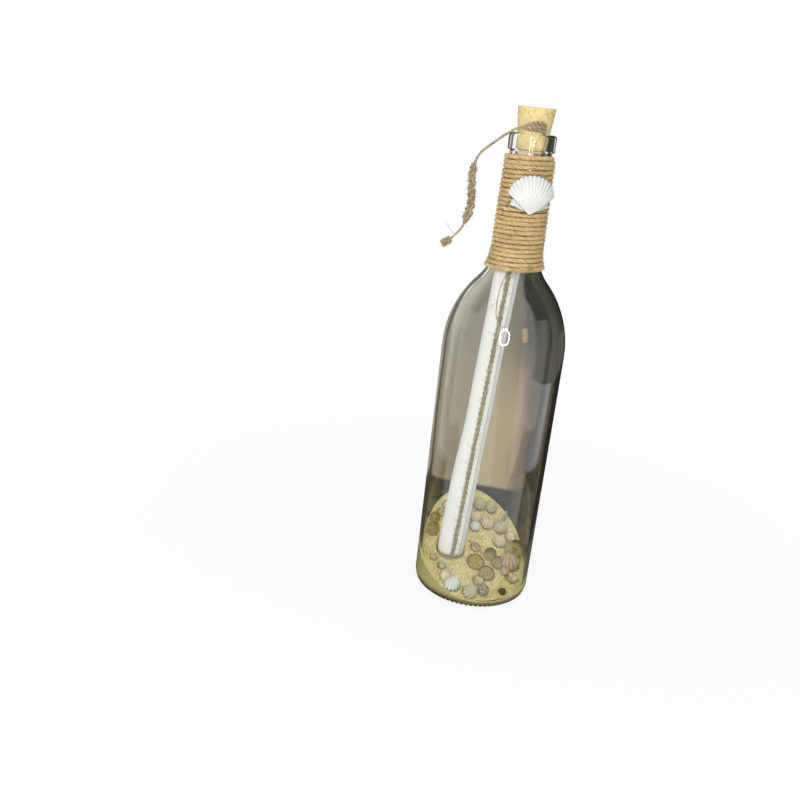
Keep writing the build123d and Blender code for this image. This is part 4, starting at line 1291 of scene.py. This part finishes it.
def sand_height(down):
    """The height of the sand at a distance down its slope from the bottle's axis."""
    return bowl_z - sqrt(bowl_radius ** 2 - (down - bowl_x) ** 2)


def floor_radius(height):
    """The sand's radius at a height by the heel; it reaches a hair into the glass, so no film of air shows."""
    corner = inner_heel_radius + sand_bite
    rise = glass_wall + inner_heel_radius - height
    return inside_radius - inner_heel_radius + (corner if rise <= 0 else sqrt(max(0.0, corner ** 2 - rise ** 2)))


def sand_reach(direction):
    """How far the sand's top runs from the axis before it meets the glass."""
    reach = inside_radius + sand_bite
    for _ in range(30):
        reach = min(reach, 0.5 * (reach + floor_radius(sand_height(reach * direction.dot(slope_down)))))
    return reach


# %% [markdown]
# ## What lies on the sand
# Each shell, marble and bead has a seat on the slope: a frame that is square to the sand, turned and
# tipped as the piece lies. Every kind has its own function, which builds the piece in its seat.

# %% Seats on the slope
trinket_length = 10 * mm


def seat(down, across, turned, tipped, lift):
    """The frame of a piece on the slope; down and across are shares of the inside radius."""
    down, across = down * inside_radius, across * inside_radius
    steepness = (bowl_x - down) / bowl_radius
    flat = sqrt(1 - steepness ** 2)
    out = slope_down * steepness + Vector((0, 0, flat))
    place = slope_down * down + slope_across * across + Vector((0, 0, sand_height(down)))
    ground = Matrix((slope_across, out.cross(slope_across), out)).transposed().to_4x4()
    return (Matrix.Translation(place) @ ground @ Matrix.Translation((0, 0, lift * trinket_length))
            @ Matrix.Rotation(radians(tipped), 4, "X") @ Matrix.Rotation(radians(turned), 4, "Z"))


def lathe(name, base, outline, around, material, uneven, fineness, seed):
    """An outline of (radius, height) turned about a base frame's z axis and made a little uneven."""
    piece = turned_piece(name, outline, around, material)
    for vertex in piece.data.vertices:
        swell = 1 + uneven * noise.noise(vertex.co * fineness + Vector((seed, 0, 0)))
        vertex.co = base @ (vertex.co * swell)
    return piece


def round_outline(half, rise, power, steps):
    """Half of a rounded outline, from its foot on the axis to its top."""
    return [(half * sin(pi * step / steps) ** power if 0 < step < steps else 0, -rise * cos(pi * step / steps))
            for step in range(steps + 1)]


# %% Marble glass
def marble_glass(name, tint, roughness=0.02):
    """Tinted glass for marbles, which lets lamps through as the bottle does."""
    material, tree, shader = new_material(name, base_color=tint, roughness=roughness, transmission_weight=1.0,
                                          ior=1.48)
    lets_light_through(tree, shader, tuple(0.7 * share for share in tint[:3]) + (1,))
    return material


clear_marble = marble_glass("clear_marble", (0.80, 0.77, 0.58, 1))
amber_marble = marble_glass("amber_marble", (0.88, 0.78, 0.46, 1), 0.06)
olive_glass = marble_glass("olive_glass", (0.36, 0.34, 0.10, 1), 0.08)


# %% Marbles and beads
def marble(name, base, size, material, seed):
    """A flattened glass marble: fire-rounded, thickest in the middle, and never quite round."""
    return lathe(name, base, round_outline(size[0] / 2, size[2] / 2, 0.9, 28), 48, material, 0.03, 160, seed)


def round_bead(name, base, size, material, seed, hole=0.0):
    """A bead, with a threading hole where it has one."""
    radius = size[0] / 2
    outline = round_outline(radius, radius, 1, 32)
    if hole:
        start = hole * radius
        turn = atan2(start, sqrt(radius ** 2 - start ** 2))
        angles = [turn + (pi - 2 * turn) * step / 24 for step in range(25)]
        outline = [(radius * sin(angle), -radius * cos(angle)) for angle in angles]
        outline += [(start, outline[-1][1] * 0.5), (start, -outline[-1][1] * 0.5), outline[0]]
    return lathe(name, base, outline, 40, material, 0.02, 200, seed)


# %% Carved bead material
carved_bead, tree, shader = new_material("carved_bead", roughness=0.5)
holes = add(tree, "ShaderNodeTexVoronoi", {"Vector": object_place(tree), "Scale": 620.0}, feature="DISTANCE_TO_EDGE")
lace = from_to(tree, holes.outputs["Distance"], 0.06, 0.16)
# Painted shade: the carved hollows are dark and the lace between them pale.
carved = blended(tree, lace, colour(196, 184, 150), colour(70, 62, 44))
dressed(tree, shader, carved, 0.9, 0.4 * mm, lace, invert=True)


# %% Pebble material
def pebble_material(name, pale, dark):
    """A tumbled pebble or egg-shaped shell, mottled and satin."""
    material, tree, shader = new_material(name, roughness=0.4, specular_ior_level=0.5)
    mottle = grainy(tree, object_place(tree), 320.0, 6.0, Distortion=0.6)
    dressed(tree, shader, ramp(tree, mottle, (0.32, dark), (0.62, pale)), 0.3, 0.15 * mm, mottle)
    return material


cream_pebble = pebble_material("cream_pebble", colour(228, 214, 176), colour(182, 158, 112))
mauve_pebble = pebble_material("mauve_pebble", colour(200, 172, 140), colour(146, 116, 92))


# %% Pebbles and slivers
sliver_fullness, sliver_chips, sliver_bow, sliver_wall, sliver_ribs = 0.92, 0.10, 0.35, 0.6, 1.4


def pebble(name, base, size, material, seed):
    """An egg-shaped pebble that lies along its seat's x direction."""
    outline = round_outline(size[2] / 2, size[0] / 2, 0.85, 24)
    return lathe(name, base @ Matrix.Rotation(pi / 2, 4, "Y"), outline, 32, material, 0.06, 180, seed)


def sliver(name, base, size, material, seed):
    """A broken piece of shell on its edge: a bowed plate with ribs and a chipped outline."""
    steps, rows = 26, 14
    points, growth, ridges = [], [], []
    for row in range(rows + 1):
        for step in range(steps + 1):
            x, z = step / steps * 2 - 1, row / rows * 2 - 1
            chips = sliver_chips * noise.noise(Vector((x * 3, z, seed)))
            reach = sqrt(max(0.0, 1 - x * x * sliver_fullness)) * (1 + chips)
            bow = size[1] * sliver_bow * (1 - x * x)
            points.append(base @ Vector((x * size[0] / 2, bow - size[1] / 2, z * reach * size[2] / 2)))
            growth.append(row / rows)
            ridges.append(0.5 + 0.5 * cos(step * sliver_ribs))
    piece = mesh_piece(name, points, grid_faces(rows, steps), material)
    stored(piece, "growth", growth)
    stored(piece, "ridge", ridges)
    walled(piece, size[1] * sliver_wall, 0)
    return piece


# %% Spiral shells
tip_share, whorl_growth, whorl_stretch, whorl_rise, mouth_room = 0.16, 1.25, 1.25, 0.85, 1.6
whorl_ripple, ripple_turn = 0.05, 2.2


def spiral(name, base, size, material, _seed, upright=False):
    """A spiral shell: a tube that winds about an axis and grows as it goes, from the tip to the mouth."""
    turns, sides, steps = 5.0, 14, 26
    length, half = size[0], size[1] / 2
    lying = base @ Matrix.Rotation(pi if upright else -pi / 2, 4, "X" if upright else "Y")
    points, growth, ridges = [], [], []
    count = round(turns * steps)
    for ring in range(count + 1):
        share = ring / count
        grown = tip_share + (1 - tip_share) * share ** whorl_growth
        tube = half * 0.5 * grown
        angle = tau * turns * share
        out = Vector((cos(angle), sin(angle), 0))
        centre = out * (half * 0.5) * grown
        centre.z = length * (0.5 - tube / length - (1 - mouth_room * half / length) * share ** whorl_rise)
        for side in range(sides):
            turn = tau * side / sides
            ripple = 1 + whorl_ripple * cos(ring * ripple_turn)
            around = out * cos(turn) + Vector((0, 0, 1)) * sin(turn) * whorl_stretch
            points.append(lying @ (centre + around * tube * ripple))
            growth.append(share * 3)
            ridges.append(0.5 + 0.5 * cos(ring * ripple_turn))
    faces = skin_faces(row_of_rings(count + 1, sides), sides)
    faces += [tuple(range(sides))[::-1], tuple(range(count * sides, (count + 1) * sides))]
    piece = mesh_piece(name, points, faces, material)
    stored(piece, "growth", growth)
    stored(piece, "ridge", ridges)
    return piece


# %% Small clams
clam_fullness, clam_belly = 0.62, 0.12


def clam(name, base, size, material, _seed):
    """A small ribbed shell that lies with its dome up."""
    half_x, half_y, rise = size[0] / 2, size[1] / 2, size[2]
    ribs, fan = 11, 168

    def dome(x, y):
        far = min(1.0, (x / half_x) ** 2 + (y / half_y) ** 2)
        return rise * (1 - far) ** clam_fullness * (1 + clam_belly * (y < 0) * (1 - far))

    return ribbed_shell(name, base, size, dome, ribs, 0.10 * rise + 0.22 * mm, fan, material, 0.35 * mm, rows=20,
                        edge_depth=0.07)


# %% The table of pieces on the sand
trinkets = [
    # name, kind, finish, down, across, turned, tipped, lift, length, width, height
    ("big_glass_gem", marble, clear_marble, 0.09, 0.8, 20, 8, 0.3, 1.4, 1.4, 0.95),
    ("round_glass_bead", round_bead, clear_marble, 0.14, 0.27, 0, 0, 0.26, 0.86, 0.86, 0.86),
    ("mauve_clam", clam, mauve_shell, 0.27, 0.66, 200, 0, -0.02, 1.5, 1.3, 0.58),
    ("mauve_pebble", pebble, mauve_pebble, 0.44, 0.5, 30, 0, 0.11, 0.74, 0.5, 0.57),
    ("striped_clam", clam, cream_shell, -0.09, 0.54, 150, 0, -0.02, 0.92, 0.81, 0.54),
    ("right_clam", clam, cream_shell, -0.15, 0.8, 120, 0, -0.02, 0.78, 0.71, 0.44),
    ("toothed_clam", clam, grey_shell, -0.34, 0.63, 185, 12, -0.02, 1.08, 0.92, 0.58),
    ("small_white_shell", clam, white_shell, -0.37, 0.1, 160, 0, -0.02, 0.67, 0.67, 0.48),
    ("clear_disc_back", marble, clear_marble, 0.28, 0.4, 0, 10, 0.08, 0.91, 0.91, 0.35),
    ("clear_disc_front", marble, clear_marble, 0.46, 0.13, 0, 6, 0.08, 1.06, 1.06, 0.38),
    ("amber_disc", marble, amber_marble, 0.24, -0.03, 0, -4, 0.05, 1.17, 1.17, 0.32),
    ("spiral_shell", spiral, cream_shell, 0.58, -0.06, -55, 0, 0.11, 1.04, 0.55, 0.55),
    ("cone_shell", spiral, cream_shell, 0.56, 0.6, -50, 0, 0.16, 1.04, 0.6, 0.6),
    ("lace_bead", round_bead, carved_bead, 0.79, -0.04, 0, 0, 0.2, 0.75, 0.75, 0.75),
    ("grey_shell_front", clam, grey_shell, 0.79, -0.29, 40, 0, -0.02, 0.97, 0.86, 0.58),
    ("white_clam_front", clam, white_shell, 0.64, -0.58, 200, 0, -0.02, 1.03, 0.92, 0.61),
    ("cream_egg", pebble, cream_pebble, 0.48, -0.68, 60, 0, 0.14, 0.82, 0.58, 0.67),
    ("small_spiral_left", spiral, grey_shell, 0.29, -0.7, -70, 0, 0.11, 0.72, 0.44, 0.44),
    ("ring_bead_left", round_bead, cream_pebble, 0.12, -0.82, 0, 0, 0.05, 0.45, 0.45, 0.45),
    ("olive_bead", round_bead, olive_glass, 0.81, 0.33, 0, 0, 0.03, 0.45, 0.45, 0.45),
    ("clear_gem_left", marble, clear_marble, -0.35, -0.77, 0, 18, 0.15, 0.9, 0.9, 0.68),
    ("clear_gem_back", marble, clear_marble, -0.54, -0.7, 0, 10, 0.15, 0.74, 0.74, 0.57),
    ("grey_shell_back", clam, grey_shell, -0.73, 0.27, 160, 0, -0.02, 0.92, 0.84, 0.61),
    ("grey_shell_behind", clam, grey_shell, -0.68, 0.51, 200, 0, -0.02, 0.86, 0.81, 0.54),
    ("cream_clam_high", clam, cream_shell, -0.53, 0.16, 190, 0, -0.02, 0.89, 0.78, 0.44),
    ("cream_clam_low", clam, cream_shell, -0.41, 0.37, 170, 0, -0.02, 0.86, 0.76, 0.41),
    ("pale_sliver", sliver, grey_shell, -0.5, 0.72, 70, 0, 0.28, 0.7, 0.16, 1.2),
    ("mauve_sliver", sliver, mauve_shell, -0.02, 0.03, -52, 0, 0.03, 1.25, 0.12, 0.5),
    ("spike_shell", spiral, cream_shell, -0.62, -0.56, 0, 0, 0.06, 0.88, 0.34, 0.34),
    ("white_spire_left", spiral, white_shell, -0.74, -0.42, 0, 0, 0.06, 0.77, 0.42, 0.42),
]
standing = ("spike_shell", "white_spire_left")
resting = []
for number, (name, kind, finish, down, across, turned, tipped, lift, *shares) in enumerate(trinkets):
    extra = {"upright": True} if name in standing else {"hole": 0.28} if name == "ring_bead_left" else {}
    base = seat(down, across, turned, tipped, lift)
    piece = kind("small_" + name, base, [share * trinket_length for share in shares], finish, number, **extra)
    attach(piece, "bottle")
    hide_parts(name)
    resting.append((base.translation, (shares[0] + shares[1]) / 4 * trinket_length))
print(len(trinkets), "pieces on the sand")

# %% [markdown]
# ## Sand round the pieces
# The sand comes last, because it knows what lies on it: it dips in a narrow ring round each piece, and
# is painted darker there, a painted shade that tells the eye that a thing is pressed in and not floating.

# %% Sand material
olive_sand, tree, shader = new_material("olive_sand", roughness=0.92, specular_ior_level=0.2)
grains = add(tree, "ShaderNodeTexVoronoi", {"Vector": object_place(tree), "Scale": 1500.0})
grain_share = add(tree, "ShaderNodeSeparateColor", {0: grains.outputs["Color"]})
sand_tone = ramp(tree, grain_share, (0.05, colour(178, 160, 104)), (0.3, colour(216, 198, 138)),
                 (0.7, colour(226, 210, 150)), (0.97, colour(242, 232, 192)))
damp = placed(tree, blotches, scale=46.0, low=0.40, high=0.66)["mask"]
# Damp patches are the sand's own tone; the shade mask and the wall mask add painted shade.
for mask, most, tone in ((damp, 0.25, colour(200, 184, 114)), (attribute(tree, "shade"), 0.9, colour(98, 84, 44)),
                         (attribute(tree, "wall"), 0.7, colour(158, 152, 98))):
    sand_tone = blended(tree, times(tree, mask, most), sand_tone, tone)
dressed(tree, shader, sand_tone, 0.8, 0.25 * mm, grains.outputs["Distance"])

# %% Sand
sand_rings, sand_around, wall_rows = 72, 200, 12
pocket_floor = roll_foot_height - 2.2 * mm
pocket_room, pocket_edge, tie_room = 0.35 * mm, 0.5 * mm, 1.9 * mm
sand_swells = ((420, 0.22 * mm), (1400, 0.12 * mm), (60, 0.5 * mm))
press_width, press_depth, press_share, rim_fade = 1.2 * mm, 0.5 * mm, 0.94, 12
wall_shade, wall_shade_slope = 0.4, 1.6


def roll_pocket(point):
    """How far a point of the sand lies inside the hole that the roll stands in, from 0 to 1."""
    offset = point - roll_foot
    flat = offset - roll_up * offset.dot(roll_up)
    out = flat.dot(roll_right) * sin(tie_side) - flat.dot(roll_back) * cos(tie_side)
    beside = (flat - tie_out * out).length
    edge = roll_radius + pocket_room + roll_flare * max(0.0, -flat.dot(roll_right)) / max(flat.length, pocket_room)
    if out > 0 and beside < tie_room:
        edge += tie_thickness + 0.1 * mm
    return min(1.0, max(0.0, (edge - flat.length) / pocket_edge + 1))


def pressed(point):
    """How near a point of the sand is to the edge of a piece that lies on it, from 0 to 1."""
    nearest = min((abs((point - place).length - reach * press_share) for place, reach in resting), default=1.0)
    return max(0.0, 1 - nearest / press_width)


def sand_point(ring, step):
    """A point of the sand's top."""
    direction = directions[step]
    point = direction * (sand_reach_at[step] * ring / sand_rings)
    height = sand_height(point.dot(slope_down))
    point.z = height
    fade = min(1.0, (1 - ring / sand_rings) * rim_fade)
    height += sum(noise.noise(point * fineness) * depth for fineness, depth in sand_swells) * fade
    pocket = roll_pocket(point)
    point.z = height - press_depth * pressed(point) * fade + (pocket_floor - height) * pocket
    return point


directions = round_points(1, 0, sand_around)
sand_reach_at = [sand_reach(direction) for direction in directions]
dome_rise = glass_wall - sand_bite
points = [sand_point(0, 0)]
for ring in range(1, sand_rings + 1):
    points += [sand_point(ring, step) for step in range(sand_around)]
top_points, rims = len(points), points[-sand_around:]
for row in range(1, wall_rows + 1):
    for step, rim in enumerate(rims):
        height = dome_rise + (rim.z - dome_rise) * (1 - row / wall_rows) ** 2
        radius = min(floor_radius(height), hypot(rim.x, rim.y))
        angle = tau * step / sand_around
        points.append(Vector((radius * cos(angle), radius * sin(angle), height)))
for radius, height in dome_points(punt_depth, dome_rise, 8)[::-1][:-1]:
    points += round_points(radius, height, sand_around)
rings = [[0], *row_of_rings(len(points) // sand_around, sand_around, 1), [len(points)]]
points.append(Vector((0, 0, dome_rise + punt_depth)))
sand = mesh_piece("poured_sand", points, turned_round(skin_faces(rings, sand_around)), olive_sand)
stored(sand, "shade", [pressed(point) if number < top_points else 0.0 for number, point in enumerate(points)])
# Painted shade: the sand's side and floor against the glass are darkened, most on the left, none on the right.
stored(sand, "wall", [
    min(1.0, max(0.0, wall_shade - wall_shade_slope * point.x / body_radius)) * (number >= top_points)
    for number, point in enumerate(points)])

# %% Loose grains
grain_tree, given = geometry_tree("grains", [
    ("Density", "Float", 1e6), ("Size", "Float", 0.4 * mm), ("Seed", "Int", 1), ("Material", "Material", None),
])
tree = grain_tree
facing = add(tree, "ShaderNodeSeparateXYZ", {0: add(tree, "GeometryNodeInputNormal")})
upward = add(tree, "FunctionNodeCompare", {0: facing.outputs["Z"], 1: 0.35}, operation="GREATER_THAN")
strewn = add(tree, "GeometryNodeDistributePointsOnFaces", {
    "Mesh": given["Geometry"], "Selection": upward, "Density": given["Density"], "Seed": given["Seed"]})
crumb = add(tree, "GeometryNodeMeshIcoSphere", {"Radius": 0.5, "Subdivisions": 1})
tumble = add(tree, "FunctionNodeRandomValue", {"Min": (0, 0, 0), "Max": (tau, tau, tau)},
             data_type="FLOAT_VECTOR")
shape_share = add(tree, "FunctionNodeRandomValue", {"Min": (0.5, 0.4, 0.35), "Max": (1.3, 1.0, 0.8), "Seed": 5},
                  data_type="FLOAT_VECTOR")
scattered = add(tree, "GeometryNodeInstanceOnPoints", {
    "Points": strewn.outputs["Points"], "Instance": crumb, "Rotation": tumble,
    "Scale": scaled(tree, shape_share, given["Size"])})
finish_tree(tree, scattered, given["Material"])
loose_grains = run_tree(grain_tree, object_of("sand_skin", sand.data.copy()), "sand_grains", density=1.0e6,
                        size=0.5 * mm, seed=9, material=olive_sand)
sand = joined("poured_sand", [sand, loose_grains])
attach(sand, "bottle")
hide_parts("sand_bed")

# %% Finish
bpy.context.scene.view_settings.view_transform = "Standard"
